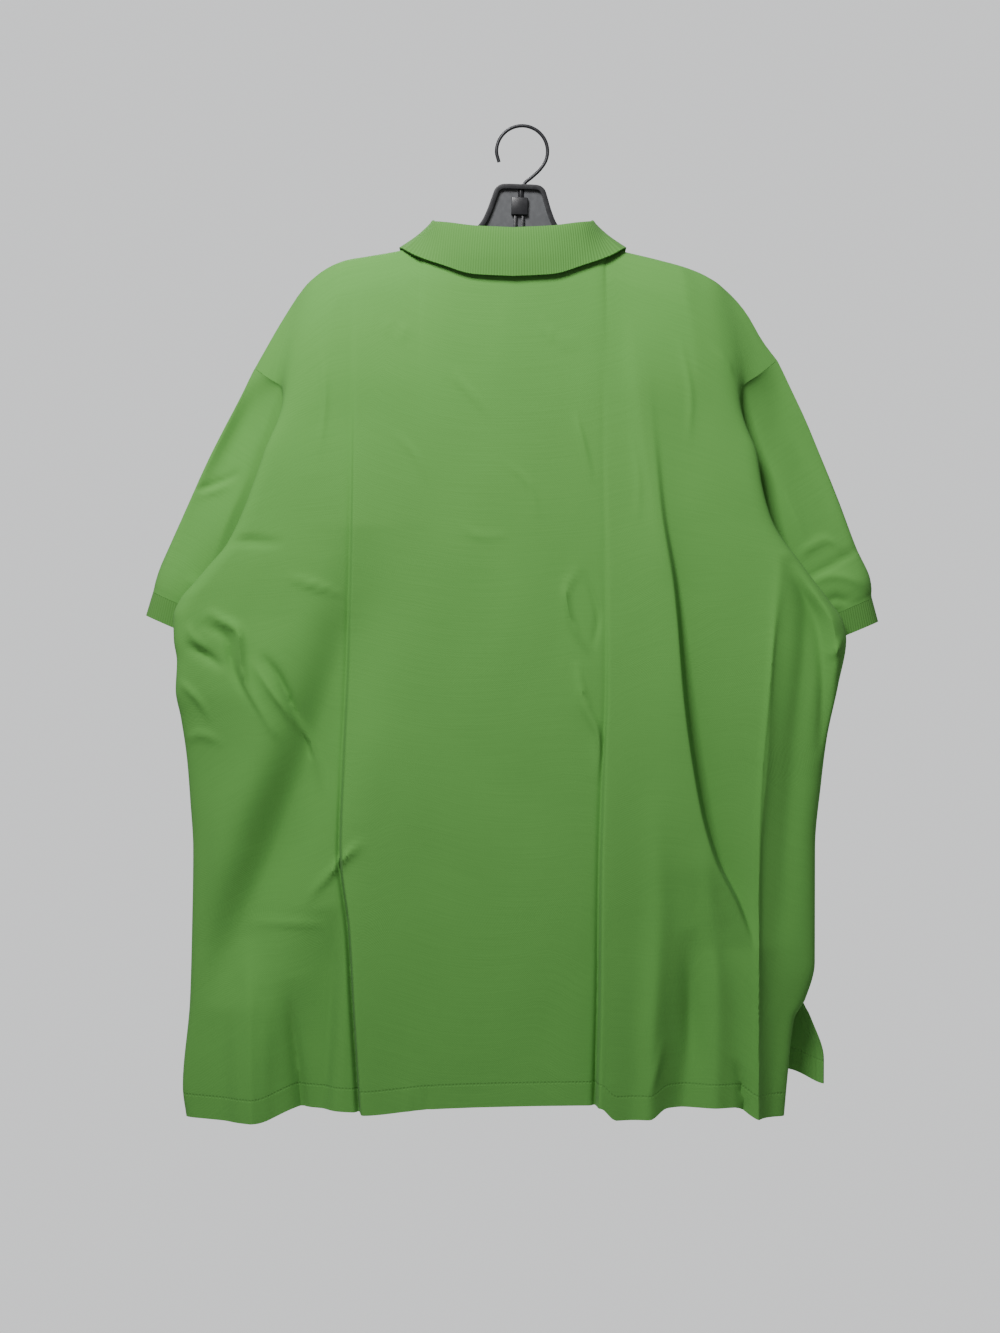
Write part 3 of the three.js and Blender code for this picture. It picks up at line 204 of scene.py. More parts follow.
# Heights
ARMHOLE_TOP = -257
UNDERARM = -462
VENT_TOP = -853
HEM_LEVEL = -960
LEVELS = (
    -280, -306, -336, -368, -398, -424, -445, -462, -484, -508, -536, -575, -630, -690, -750, -808, -853,
)
# Rows drawn from each of the upper rows to the next
UPPER_STEPS = (2, 2, 3, 5, 6, 7)
HEM_BAND = 22.5

SHOULDER_LEFT = Table("x z", (
    (-99, -115),
    (-121.5, -121),
    (-150, -126),
    (-174.4, -130.5),
    (-193, -139),
    (-212.7, -156),
    (-233.6, -186.8),
    (-262, -236),
))
SHOULDER_RIGHT = Table("x z", (
    (81, -115),
    (96, -120.5),
    (131, -129),
    (163, -138),
    (183, -147),
    (201, -160.5),
    (218.5, -180),
    (236, -209.5),
    (250, -228),
))
SHOULDER_DRAPE = Table("drop reach", (
    (0, 0),
    (1.5, 6.5),
    (5, 11.5),
    (14, 17),
    (40, 27),
    (90, 34),
    (150, 37),
    (300, 38),
))
UPPER_ROWS = Table("drop level flat seam_share", (
    (0, 0, 0, 0),
    (1.5, 0, 0, 0.1),
    (5, 0, 0, 0.24),
    (14, 0, 0, 0.42),
    (32, -190, 0.12, 0.62),
    (60, -222, 0.45, 0.82),
    (92, -257, 0.88, 1),
))
BACK_LEFT = Table("z fold_x reach seam_x seam_y turn", (
    (-236, -262, 4, -262, 0, 60),
    (-246, -243, 22, -249, -8, 60),
    (-257, -231, 27, -234, -14, 60),
    (-298, -243, 31, -229, -15, 50),
    (-345, -258.6, 34, -234, -15, 45),
    (-381, -272, 35, -241, -15, 40),
    (-411, -287, 37, -249, -15, 35),
    (-430, -303, 39, -256, -15, 30),
    (-449, -319, 41, -266, -15, 20),
    (-462, -330, 42, -272.5, -15, 10),
    (-480, -337, 43, -278, -18, 0),
    (-502, -336.5, 43, -284, -20, 0),
    (-523, -333.6, 42, -290, -20, 0),
    (-551, -335, 40, -297, -19, 0),
    (-578, -330.6, 34, -304, -14, 20),
    (-618, -325.7, 27, -312, -8, 50),
    (-660, -323, 23, -318.5, -3, 80),
    (-705, -320.7, 20, -319.5, 0, 90),
    (-797, -322.3, 18, -321.5, 0, 90),
    (-853, -324, 18, -323.5, 0, 90),
    (-936, -330.6, 20, -329, -5, 80),
    (-967, -326.7, 20, -325, -6, 80),
))
BACK_RIGHT = Table("z fold_x reach seam_x seam_y turn", (
    (-228, 250, 4, 250, 0, 60),
    (-242, 228, 20, 233, -8, 60),
    (-257, 211, 27, 214, -14, 60),
    (-286, 216.6, 30, 208, -15, 50),
    (-322, 227.5, 32, 209, -15, 45),
    (-353, 232.4, 34, 213, -15, 45),
    (-385, 241.3, 35, 219, -15, 40),
    (-399, 248.2, 36, 222, -15, 35),
    (-426, 267.9, 38, 230, -15, 30),
    (-449, 285, 40, 240.5, -15, 20),
    (-462, 295, 41, 246, -15, 10),
    (-486, 310, 42, 254, -19, 0),
    (-502, 312.8, 42, 258, -20, 0),
    (-546, 305.4, 38, 268, -18, 0),
    (-598, 295.5, 30, 279, -10, 40),
    (-640, 291, 24, 285.5, -4, 75),
    (-705, 285.6, 20, 284.6, 0, 90),
    (-816, 285.6, 17, 284.8, 0, 90),
    (-853, 276, 16, 275, 0, 90),
    (-871, 265, 18, 263.5, -4, 90),
    (-927, 258.6, 18, 257.5, -6, 90),
    (-967, 255, 18, 254, -6, 90),
))
FRONT_LEFT = Table("z seam_x seam_y turn", (
    (-236, -262, 0, 60),
    (-246, -251, 8, 20),
    (-257, -243, 13, 10),
    (-275, -236, 18, 0),
    (-298, -232, 22, 0),
    (-330, -232, 24, 0),
    (-370, -237, 21, 0),
    (-400, -243, 12, 0),
    (-424, -250, 1, 0),
    (-445, -259, -8, 0),
    (-462, -272.5, -15, 10),
))
FRONT_RIGHT = Table("z seam_x seam_y turn", (
    (-228, 250, 0, 60),
    (-242, 237, 8, 20),
    (-257, 226, 13, 10),
    (-275, 217, 18, 0),
    (-298, 211, 22, 0),
    (-330, 210, 24, 0),
    (-370, 214, 21, 0),
    (-400, 219, 12, 0),
    (-424, 226, 1, 0),
    (-445, 235, -7.5, 0),
    (-462, 246, -15, 10),
))
FRONT_TAIL_LEFT = Table("z seam_x seam_y turn", (
    (-853, -323.5, 0, 90),
    (-940, -320, 8, 80),
))
FRONT_TAIL_RIGHT = Table("z seam_x seam_y turn", (
    (-853, 275, 0, 90),
    (-871, 283, 3, 70),
    (-914, 297, 7, 50),
    (-940, 297, 8, 50),
))
BACK_HEM = Table("x z", (
    (-331, -965),
    (-257, -968),
    (-215, -956),
    (-150, -958),
    (-90, -954),
    (74, -951),
    (90, -963),
    (122, -963),
    (140, -954),
    (205, -954),
    (229, -965),
    (260, -965),
))
FRONT_HEM = Table("x z", (
    (-330, -932),
    (-200, -924),
    (0, -920),
    (230, -922),
    (268, -926),
    (297, -938),
))
COLLAR_SECTIONS = Table("angle seam_z fold_z fold_in edge_x edge_y edge_z", (
    (0, -124, -105, 1, 0, -40.5, -152.7),
    (22, -123, -103, 1, 37, -38.6, -150.5),
    (45, -119.5, -98, 0, 68, -33.6, -141),
    (66, -115, -94, -6, 95, -23, -130),
    (80, -113.4, -92, -10, 107, -13, -122),
    (92, -113, -91, -11, 110.5, 1, -119),
    (105, -116, -95, -9, 110, 17, -122),
    (122, -130, -109, -3, 105, 32, -150),
    (142, -156, -136, 0, 88, 45, -206),
    (160, -178, -160, 0, 66, 50, -246),
    (176, -190, -174, 0, 46, 51, -262),
))
HANGER_OUTLINE = (
    (0, -56.5),
    (12, -56.5),
    (19, -57.3),
    (24, -61),
    (27.5, -70),
    (31.5, -82),
    (37, -94),
    (46, -104),
    (60, -112),
    (97, -121.8),
    (118, -128),
    (146, -133.4),
    (170, -138.8),
    (186, -147),
    (196, -155),
    (199, -161),
    (194, -167),
    (182, -165),
    (170, -161),
    (120, -153),
    (60, -148),
    (0, -146),
)
BACK_FOLDS = (
    Fold("press crease left of centre, its right side in front", 2.2, 52, 1.5, (
        (-170, -162, 0),
        (-392, -163, 4),
        (-505, -166, 5),
        (-620, -171, 7),
        (-706, -173.5, 10),
        (-782, -165, 13),
        (-858, -160.5, 15),
        (-970, -153.5, 15),
    )),
    Fold("groove of the left press crease", 2.4, 2, 1.6, (
        (-150, -165, 0),
        (-280, -164, -0.8),
        (-505, -169.5, -2),
        (-620, -174.5, -3.5),
        (-706, -177, -5),
        (-782, -168.5, -7.5),
        (-858, -164, -9),
        (-970, -157, -9),
    )),
    Fold("wide valley at the left", 26, 44, 2, (
        (-392, -158, 0),
        (-456, -160, -7),
        (-505, -172, -12),
        (-586, -196, -16),
        (-702, -238, -17),
        (-800, -278, -10),
        (-860, -296, 0),
    )),
    Fold("bulge left of the valley", 30, 26, 2, (
        (-480, -246, 0),
        (-586, -246, 6),
        (-702, -286, 7),
        (-800, -306, 0),
    )),
    Fold("hollow beside the left crease", 40, 10, 2, (
        (-760, -184, 0),
        (-820, -186, -9),
        (-890, -190, -13),
        (-970, -196, -12),
    )),
    Fold("deep fold at the right, near edge", 46, 3.4, 1.7, (
        (-240, 121, 0),
        (-300, 125.5, 1),
        (-378, 133, 3),
        (-453, 145, 7),
        (-571, 155.5, 11),
        (-663, 170, 12),
        (-714, 184.5, 11),
        (-758, 206, 6),
        (-800, 222, 0),
    )),
    Fold("deep fold at the right, far side", 3.2, 36, 1.7, (
        (-300, 131, 0),
        (-378, 138.5, -2),
        (-453, 150.5, -5),
        (-571, 161.5, -9),
        (-663, 176, -11),
        (-714, 190.5, -10),
        (-758, 211.5, -6),
        (-800, 226, 0),
    )),
    Fold("soft fold above the deep one", 10, 22, 1.8, (
        (-180, 106, 0),
        (-260, 112, 3),
        (-378, 128, 3),
        (-453, 142, 0),
    )),
    Fold("bright ridge near the right side", 18, 9, 1.1, (
        (-400, 250, 0),
        (-440, 249, 3),
        (-520, 240.5, 5),
        (-613, 236, 7),
        (-714, 229, 8),
        (-840, 227.5, 10),
        (-970, 228.5, 12),
    )),
    Fold("crest of the right ridge", 2.4, 2.2, 1.6, (
        (-405, 250, 0),
        (-520, 239, 2.2),
        (-714, 227.5, 2.6),
        (-970, 227, 2.6),
    )),
    Fold("hollow outside the right ridge", 10, 16, 2, (
        (-400, 262, 0),
        (-480, 274, -6),
        (-620, 262, -3),
        (-760, 252, -2),
        (-860, 244, 0),
    )),
    Fold("crease right of centre, its right side in front", 2.2, 44, 1.6, (
        (-300, 79, 0),
        (-436, 83, 1.4),
        (-546, 83, 3.5),
        (-630, 79.5, 5.5),
        (-735, 76.5, 9),
        (-840, 75.5, 13),
        (-970, 72.5, 17),
    )),
    Fold("groove of the right press crease", 2.6, 2, 1.6, (
        (-200, 78, 0),
        (-300, 78, -0.5),
        (-436, 80.5, -0.9),
        (-546, 80.5, -1.6),
        (-630, 77, -2.6),
        (-735, 74, -4),
        (-840, 73, -6),
        (-970, 69.5, -8),
    )),
    Fold("soft ridge at the lower left", 14, 12, 1.6, (
        (-790, -266, 0),
        (-860, -263, 8),
        (-970, -261, 12),
    )),
    Fold("dark hollow at the lower left", 12, 16, 1.8, (
        (-830, -226, 0),
        (-900, -222, -7),
        (-970, -214, -9),
    )),
    Fold("soft ridge at the lower right", 12, 12, 1.8, (
        (-640, 128, 0),
        (-760, 132, 4),
        (-880, 126, 7),
        (-970, 122, 8),
    )),
    Fold("hollow at the lower right", 16, 14, 1.8, (
        (-780, 164, 0),
        (-880, 160, -7),
        (-970, 152, -8),
    )),
    Fold("ridge between hollow and side", 12, 14, 1.8, (
        (-780, 188, 0),
        (-880, 188, 6),
        (-970, 186, 6),
    )),
)
FRONT_FOLDS = (
    Fold("soft fold at the left", 40, 26, 2, (
        (-400, -150, 0),
        (-640, -176, 9),
        (-940, -190, 14),
    )),
    Fold("soft fold at the right", 28, 46, 2, (
        (-380, 110, 0),
        (-600, 128, 10),
        (-940, 150, 13),
    )),
    Fold("middle hollow", 50, 44, 2, (
        (-420, -20, 0),
        (-700, -30, -6),
        (-940, -34, -9),
    )),
)

# Short creases of the back, from the picture. Rise is towards the viewer.
BACK_CREASES = (
    # Thin creases of the middle
    Crease(2.1, 2.8, ((50, -282, 0), (58, -310, 2.6), (68, -352, 0))),
    Crease(2.8, 2.1, ((57, -428, 0), (42, -456, 3.5), (50, -491, 3.8), (66, -517, 0))),
    Crease(2.1, 2.8, ((57, -431, 0), (73, -478, -2.9), (67, -514, 0))),
    Crease(2.8, 4.2, ((52, -521, 0), (60, -562, 5.1), (73, -594, 5.4), (73, -640, 0))),
    # Curved crease near the right shoulder
    Crease(2.1, 2.8, ((181, -218, 0), (200, -236, 2.6), (214, -258, 0))),
    # Fold line beside the right underarm
    Crease(9, 7, (
        (251, -424, 0), (270, -455, -4.8), (283, -480, -8),
        (289, -524, -8), (289, -580, -4.8), (286, -620, 0),
    )),
    Crease(6, 8, ((262, -430, 0), (282, -458, 4.8), (297, -484, 6.4), (302, -520, 4.8), (300, -560, 0))),
    Crease(2.8, 2.8, ((291, -520, 0), (302, -512, 4), (310, -496, 0))),
    # Fan of creases from the left underarm
    Crease(3.5, 4.9, ((-326, -506, 0), (-306, -516, -5.6), (-286, -531, 0))),
    Crease(3.5, 4.2, (
        (-306, -474, 0), (-288, -484, 4.8), (-274, -493, 6.4), (-270, -520, 6.4),
        (-266, -545, 4.8), (-248, -577, 3.2), (-233, -600, 0),
    )),
    Crease(4.2, 3.5, (
        (-314, -486, 0), (-286, -500, -3.4), (-279, -530, -3.6), (-262, -560, -2.4), (-240, -590, 0),
    )),
    Crease(2.8, 4.2, (
        (-262, -520, 0), (-240, -552, 4.8), (-222, -576, 6.4), (-205, -600, 4.8), (-191, -656, 0),
    )),
    Crease(4.2, 2.8, ((-252, -516, 0), (-234, -540, -6.4), (-214, -590, -6.4), (-204, -620, 0))),
    Crease(2.8, 3.5, ((-292, -407, 0), (-262, -407, -3.8), (-228, -409, 0))),
    Crease(3.5, 2.8, ((-230, -441, 0), (-200, -450, 2.9), (-170, -460, 0))),
    Crease(2.8, 2.8, ((-334, -540, 0), (-316, -556, 3.5), (-300, -580, 0))),
    Crease(2.8, 3.5, ((-322, -486, 0), (-316, -500, 3.2), (-302, -512, 0))),
    Crease(3.5, 3.5, ((-330, -600, 0), (-310, -594, 2.6), (-288, -602, 0))),
    # Creases across the lower left
    Crease(2.8, 4.2, ((-210, -756, 0), (-190, -732, 5.1), (-168, -708, 5.4), (-152, -694, 0))),
    Crease(3.5, 3.5, ((-268, -777, 0), (-230, -776, 2.1), (-186, -777, 0))),
    Crease(9, 9, ((-276, -840, 0), (-275, -900, 4.2), (-274, -966, 5.4)), 2),
    Crease(8, 10, ((-249, -845, 0), (-249, -900, 3.8), (-249, -966, 4.2)), 2),
    Crease(4.9, 4.9, ((-226, -850, 0), (-220, -900, -4.8), (-214, -962, -6.4)), 2),
    # Lower right
    Crease(2.8, 3.5, ((137, -880, 0), (130, -912, 3.5), (121, -945, 0))),
    Crease(9, 9, ((158, -780, 0), (163, -860, -4.2), (168, -930, 0)), 2),
    Crease(8, 8, ((172, -690, 0), (182, -780, 3.5), (190, -866, 0)), 2),
    Crease(4.2, 3.5, ((206, -905, 0), (212, -935, -6.4), (214, -966, -8))),
    # Puckers at the hem
    Crease(2.1, 2.1, ((-112, -925, 0), (-110, -940, 1.4), (-108, -956, 1.6))),
    Crease(2.1, 2.1, ((-94, -928, 0), (-92, -942, -1.4), (-92, -956, -1.6))),
    # Faint creases of the upper middle
    Crease(2.1, 2.8, ((-150, -192, 0), (-120, -204, 1.4), (-84, -210, 0))),
    Crease(2.8, 2.8, ((-84, -236, 0), (-52, -262, 1.6), (-30, -290, 0))),
    Crease(2.1, 3.5, ((-128, -300, 0), (-104, -322, 1.4), (-90, -352, 0))),
    Crease(2.8, 2.8, ((12, -196, 0), (34, -212, 1.4), (58, -214, 0))),
    Crease(2.8, 2.1, ((-20, -330, 0), (6, -352, 1.3), (16, -388, 0))),
    Crease(2.8, 2.8, ((104, -302, 0), (112, -350, 1.6), (110, -396, 0))),
    Crease(2.1, 2.8, ((-62, -392, 0), (-40, -402, 1.3), (-10, -400, 0))),
    Crease(2.8, 2.8, ((150, -210, 0), (162, -262, 1.8), (160, -316, 0))),
    Crease(2.8, 2.8, ((-196, -210, 0), (-190, -268, 1.8), (-196, -326, 0))),
)
FRONT_CREASES = (
    Crease(4, 5, ((-250, -500, 0), (-222, -530, 3.6), (-206, -580, 0))),
    Crease(4, 4, ((-236, -470, 0), (-200, -492, 3), (-170, -500, 0))),
    Crease(5, 4, ((232, -500, 0), (206, -536, 4), (196, -590, 0))),
    Crease(4, 4, ((214, -470, 0), (184, -490, 2.8), (158, -494, 0))),
    Crease(4, 34, ((-164, -330, 0), (-166, -480, 3), (-172, -700, 6), (-158, -860, 8), (-152, -950, 8)), 1.5),
    Crease(34, 4, ((84, -360, 0), (82, -520, 3), (78, -700, 6), (73, -860, 8), (71, -950, 8)), 1.5),
    Crease(5, 30, ((150, -460, 0), (158, -560, 4), (176, -680, 7), (206, -770, 0)), 1.5),
    Crease(20, 5, ((-232, -620, 0), (-244, -720, 5), (-250, -860, 7), (-252, -950, 7)), 1.5),
    Crease(18, 6, ((236, -560, 0), (230, -700, 5), (228, -860, 7), (228, -950, 7)), 1.5),
    Crease(8, 10, ((-90, -560, 0), (-96, -700, 2.8), (-104, -860, 2.4)), 2),
    Crease(10, 8, ((20, -600, 0), (16, -720, 2.6), (14, -880, 2.4)), 2),
    Crease(3, 4, ((-70, -290, 0), (-60, -340, 1.8), (-66, -380, 0))),
    Crease(3, 3, ((52, -390, 0), (60, -440, 1.8), (54, -492, 0))),
    Crease(3, 4, ((112, -230, 0), (132, -262, 1.9), (140, -312, 0))),
    Crease(4, 3, ((-132, -240, 0), (-150, -280, 1.8), (-150, -330, 0))),
)
LEFT_SLEEVE_CREASES = (
    Crease(3.5, 3, ((-322, -356, 0), (-308, -352, -2.6), (-284, -342, -2), (-274, -336, 0))),
    Crease(4, 3, ((-318, -362, 0), (-300, -356, 2.2), (-280, -348, 0))),
    Crease(6, 8, ((-262, -330, 0), (-290, -392, 2), (-306, -440, 0))),
    Crease(5, 5, ((-330, -440, 0), (-312, -452, 1.8), (-290, -462, 0))),
)
RIGHT_SLEEVE_CREASES = (
    Crease(3, 4, ((268, -424, 0), (280, -412, 2.2), (298, -404, 2.8), (314, -416, 1.6), (322, -428, 0))),
    Crease(4, 3, ((262, -452, 0), (290, -436, -2.4), (318, -420, -2.4), (342, -404, 0))),
    Crease(5, 4, ((272, -452, 0), (300, -440, 2.8), (326, -446, 2.4), (340, -456, 0))),
    Crease(6, 4, ((290, -470, 0), (306, -462, -3), (318, -470, -2), (322, -478, 0))),
    Crease(7, 8, ((242, -330, 0), (268, -384, 1.8), (280, -420, 0))),
)


class Face(Enum):
    """The two halves of the shirt's body, with the sign of their outward way along Y."""

    BACK = -1
    FRONT = 1


class Side(Enum):
    """The viewer's left and right, with the sign of their outward way along X."""

    LEFT = -1
    RIGHT = 1


def mix(a: Array | float, b: Array | float, t: Array | float) -> Array:
    """Returns a value between a and b."""
    return a + (b - a) * t


def ease(t: Array | float) -> Array:
    """Returns a soft step from 0 to 1."""
    t = np.clip(t, 0, 1)
    return t * t * (3 - 2 * t)


def unit(vector: Array) -> Array:
    """Returns vectors at length 1."""
    return vector / np.maximum(1e-9, np.linalg.norm(vector, axis=-1, keepdims=True))


def bezier(from_: Array, leave: Array, arrive: Array, to: Array, t: Array) -> Array:
    """Returns points of a cubic curve with two handles."""
    t = t[:, None]
    return (1 - t) ** 3 * from_ + 3 * (1 - t) ** 2 * t * leave + 3 * (1 - t) * t**2 * arrive + t**3 * to


def bend(from_: Array, from_way: Array, to: Array, to_way: Array, t: Array) -> Array:
    """Returns points of a curve that leaves and arrives in given ways."""
    pull = float(np.linalg.norm(to - from_)) * 0.39
    return bezier(from_, from_ + from_way * pull, to - to_way * pull, to, t)


@dataclass(frozen=True)
class Neck:
    """Ring of the neck seam: angle 0 is the centre back, 90 the viewer's right, 180 the front."""

    x: float = -9
    y: float = 3
    half_width: float = 90
    half_depth: float = 34
    collar_centre: float = -9
    drop: float = 2

    def points(self, degrees: Array) -> Array:
        """Returns points of the ring at some angles."""
        angle = np.radians(degrees)
        from_back = np.abs((np.asarray(degrees) + 540) % 360 - 180)
        z = COLLAR_SECTIONS.at("seam_z", from_back) - self.drop
        return np.stack(
            [self.x + self.half_width * np.sin(angle), self.y - self.half_depth * np.cos(angle), z], axis=-1
        )


NECK = Neck()


@dataclass(frozen=True)
class RowEnd:
    """Where a row of a panel ends on one side."""

    point: Array
    way: Array
    fold: Array
    fold_way: Array
    edge_x: float
    reach: float

    def as_array(self) -> Array:
        """Returns all values in one row."""
        return np.concatenate([self.point, self.way, self.fold, self.fold_way, [self.edge_x, self.reach]])

    @staticmethod
    def from_array(values: Array) -> "RowEnd":
        """Returns a row end from its values."""
        return RowEnd(
            values[:3],
            unit(values[3:6]),
            values[6:9],
            unit(values[9:12]),
            float(values[12]),
            float(values[13]),
        )


@dataclass(frozen=True)
class Row:
    """One row of a panel. Upper rows follow the shoulder, lower ones are level, the last reach the hem."""

    index: float
    drop: float
    level: float
    flat: float
    share: float
    tail: float


@dataclass
class Panel:
    """The back or the front of the body, from the shoulder seam down to the hem."""

    face: Face
    folds: tuple[Fold, ...]
    creases: tuple[Crease, ...]
    left: Table
    right: Table
    hem: Table
    bend_inset: float
    fold_fade: float
    row_step: float = 4.0
    tail_rows: int = 22
    behind: int = 9
    before: int = 10
    inner: int = 19
    neck: int = 66

    def top_edge(self, x: Array) -> tuple[Array, Array]:
        """Returns the top edge's heights at x, and how far it already reaches from the middle plane."""
        across = (x - NECK.x) / NECK.half_width
        inside = np.abs(across) < 1
        side = np.degrees(np.arcsin(np.clip(across, -1, 1)))
        ring = NECK.points(side if self.face is Face.BACK else 180 - side)
        shoulder = np.where(x < NECK.x, SHOULDER_LEFT.at("z", x), SHOULDER_RIGHT.at("z", x))
        z = np.where(inside, ring[..., 2], shoulder)
        reach = np.where(inside, np.maximum(0, self.face.value * ring[..., 1]), 0)
        return z, reach

    def points(self, x: Array, row: Row, ends: tuple[RowEnd, RowEnd]) -> Array:
        """Returns the outer surface at some places of a row, with its long folds."""
        left, right = ends
        top_z, top_reach = self.top_edge(x)
        height = mix(top_z - row.drop, row.level, row.flat)
        z = mix(height, self.hem.at("z", x), row.tail)
        drape = SHOULDER_DRAPE.at("reach", np.maximum(0, top_z - z))
        full = top_reach + (1 - top_reach / BODY_REACH) * drape
        half = (right.edge_x - left.edge_x) / 2
        across = np.clip(np.abs(x - (left.edge_x + right.edge_x) / 2) / half, 0, 1)
        edge_reach = np.where(x < SHIRT_CENTRE, left.reach, right.reach)
        reach = mix(full, mix(full, edge_reach, across**4), ease((-240 - z) / 60))
        near_side = np.minimum(x - left.edge_x, right.edge_x - x)
        rise = sum(fold.rise(x, z) for fold in self.folds) * ease(near_side / self.fold_fade)
        if self.face is Face.BACK:
            return np.stack([x, -reach - rise, z], axis=-1)
        sunk = self.armpit_share(x, z)
        return np.stack([x, mix(reach + rise, -21, sunk), z], axis=-1)

    def armpit_share(self, x: Array, z: Array) -> Array:
        """Returns how far the front sinks beside the sleeve that hangs before it."""
        outer = np.where(x < SHIRT_CENTRE, -225, 202)
        inner = np.where(x < SHIRT_CENTRE, -150, 134)
        return ease((x - inner) / (outer - inner)) * ARMPIT_HEIGHTS.at("share", z)

    def shoulder(self, side: Side) -> Array:
        """Returns the shoulder seam's columns, from the sleeve to the neck."""
        table = SHOULDER_LEFT if side is Side.LEFT else SHOULDER_RIGHT
        points = np.stack([table.values[:, 0], np.zeros(len(table.values)), table.values[:, 1]], axis=-1)
        if side is Side.LEFT:
            points = points[np.argsort(points[:, 0])]
        else:
            points = points[np.argsort(-points[:, 0])]
        points[-1] = NECK.points(np.array([90.0 * side.value]))[0]
        line = resample(points, 60)
        length = np.concatenate([[0], np.cumsum(np.linalg.norm(np.diff(line, axis=0), axis=1))])
        shares = np.concatenate(
            [
                np.linspace(0, 0.42, self.behind, endpoint=False),
                np.linspace(0.42, 0.5, self.before, endpoint=False),
                np.linspace(0.5, 1, self.inner + 1),
            ]
        )
        return np.stack([np.interp(shares * length[-1], length, line[:, k]) for k in range(3)], axis=-1)

    def top_row(self) -> Array:
        """Returns the top row: both shoulder seams and the neck between them."""
        angles = np.linspace(-90, 90, self.neck + 1)
        neck = NECK.points(angles if self.face is Face.BACK else 180 - angles)
        return np.vstack([self.shoulder(Side.LEFT)[:-1], neck, self.shoulder(Side.RIGHT)[::-1][1:]])

    def rows(self) -> list[Row]:
        """Returns all rows, from the shoulder seam to the hem."""
        upper = UPPER_ROWS.values
        index, last = np.arange(len(upper)), len(upper) - 1
        level = np.minimum(upper[:, 1], -190)
        steps = np.concatenate([np.linspace(k, k + 1, n, endpoint=False) for k, n in enumerate(UPPER_STEPS)])
        shapes = (upper[:, 0], level, upper[:, 2], upper[:, 3])
        rows = [Row(float(s), *(float(curve(index, shape, s)) for shape in shapes), 0.0) for s in steps]
        depths = [-ARMHOLE_TOP, *(-height for height in LEVELS)]
        places = np.arange(last, last + len(depths))
        count = round((ARMHOLE_TOP - VENT_TOP) / self.row_step)
        for z in np.linspace(ARMHOLE_TOP, VENT_TOP, count + 1):
            place = np.interp(-z, depths, places)
            if z == ARMHOLE_TOP:
                rows.append(Row(float(last), float(upper[-1, 0]), ARMHOLE_TOP, float(upper[-1, 2]), 1.0, 0.0))
            else:
                flat = float(np.interp(place, [last, last + 1], [upper[-1, 2], 1]))
                rows.append(Row(float(place), float(upper[-1, 0]), float(z), flat, 1.0, 0.0))
        for tail in np.linspace(0, 1, self.tail_rows + 1)[1:]:
            rows.append(Row(last + len(LEVELS) + float(tail), 0.0, VENT_TOP, 1.0, 1.0, float(tail)))
        return rows

    def row_end(self, row: Row, side: Side, seam: Array) -> RowEnd:
        """Returns where a row ends on one side."""
        table = self.left if side is Side.LEFT else self.right
        outward = side.value
        z = mix(seam[0, 2], ARMHOLE_TOP, row.share) if row.share < 1 else row.level
        if row.tail > 0:
            free = table.at("seam_x", HEM_LEVEL)
            z = mix(VENT_TOP, self.hem.at("z", free), row.tail)
        turn = math.radians(float(table.at("turn", z)))
        point = np.array([float(table.at("seam_x", z)), float(table.at("seam_y", z)), float(z)])
        along = unit(seam[0] - seam[1])
        turned = np.array([-outward * math.cos(turn), math.sin(turn), 0])
        level = ease(row.index / (len(UPPER_ROWS.values) - 1))
        if self.face is Face.FRONT:
            way = unit(mix(along, -turned, level))
            return RowEnd(point, way, point, way, float(point[0]), max(6.0, abs(float(point[1]))))
        edge = seam[self.behind]
        upper_z = mix(edge[2] - row.drop, ARMHOLE_TOP + 2, row.flat)
        drop = edge[2] - upper_z
        if row.share < 1:
            fold_x = mix(edge[0], table.at("fold_x", ARMHOLE_TOP), ease(drop / 94))
            reach = SHOULDER_DRAPE.at("reach", drop) * 0.95
        else:
            fold_x, reach, upper_z = table.at("fold_x", z), table.at("reach", z), z
        fold = np.array([float(fold_x), float(mix(-reach, point[1], 0.45)), float(upper_z)])
        fold_way = unit(mix(along, np.array([0.0, 1.0, 0.0]), level))
        return RowEnd(point, unit(mix(along, turned, level)), fold, fold_way, float(fold_x), float(reach))

    def row_ends(self, rows: list[Row], side: Side, seam: Array) -> list[RowEnd]:
        """Returns all rows' ends. Those of the upper rows follow curves through the table's own rows."""
        upper = UPPER_ROWS.values
        own = [Row(float(i), *(float(v) for v in upper[i]), 0.0) for i in range(len(upper))]
        known = np.array([self.row_end(row, side, seam).as_array() for row in own])
        keys = np.arange(len(own), dtype=float)
        ends = []
        for row in rows:
            if row.index < keys[-1]:
                values = [float(curve(keys, column, row.index)) for column in known.T]
                ends.append(RowEnd.from_array(np.array(values)))
            else:
                ends.append(self.row_end(row, side, seam))
        return ends

    def crowded(self, start: float, stop: float, count: int, z: float) -> Array:
        """Returns places along a row, closer together where folds are steep."""
        steps = 240
        x = mix(start, stop, (np.arange(steps) + 0.5) / steps)
        weight = np.ones(steps)
        for fold in self.folds:
            path = fold.table()
            narrow = 4 / min(fold.left, fold.right)
            share = min(3.0, 0.4 * narrow * abs(path.at("rise", z)))
            weight += share * np.exp(-(((x - path.at("x", z)) / 8) ** 2))
        for crease in self.creases:
            path = np.array(crease.path)
            low, high = path[:, :2].min(axis=0), path[:, :2].max(axis=0)
            near = ease((z - low[1]) / 50 + 1) * ease((high[1] - z) / 50 + 1)
            inside = ease((x - low[0]) / 20 + 1) * ease((high[0] - x) / 20 + 1)
            weight += 0.3 * near * inside
        total = np.concatenate([[0], np.cumsum(weight)])
        spaced = np.linspace(0, total[-1], count + 1)
        return mix(start, stop, np.interp(spaced, total, np.arange(steps + 1)) / steps)

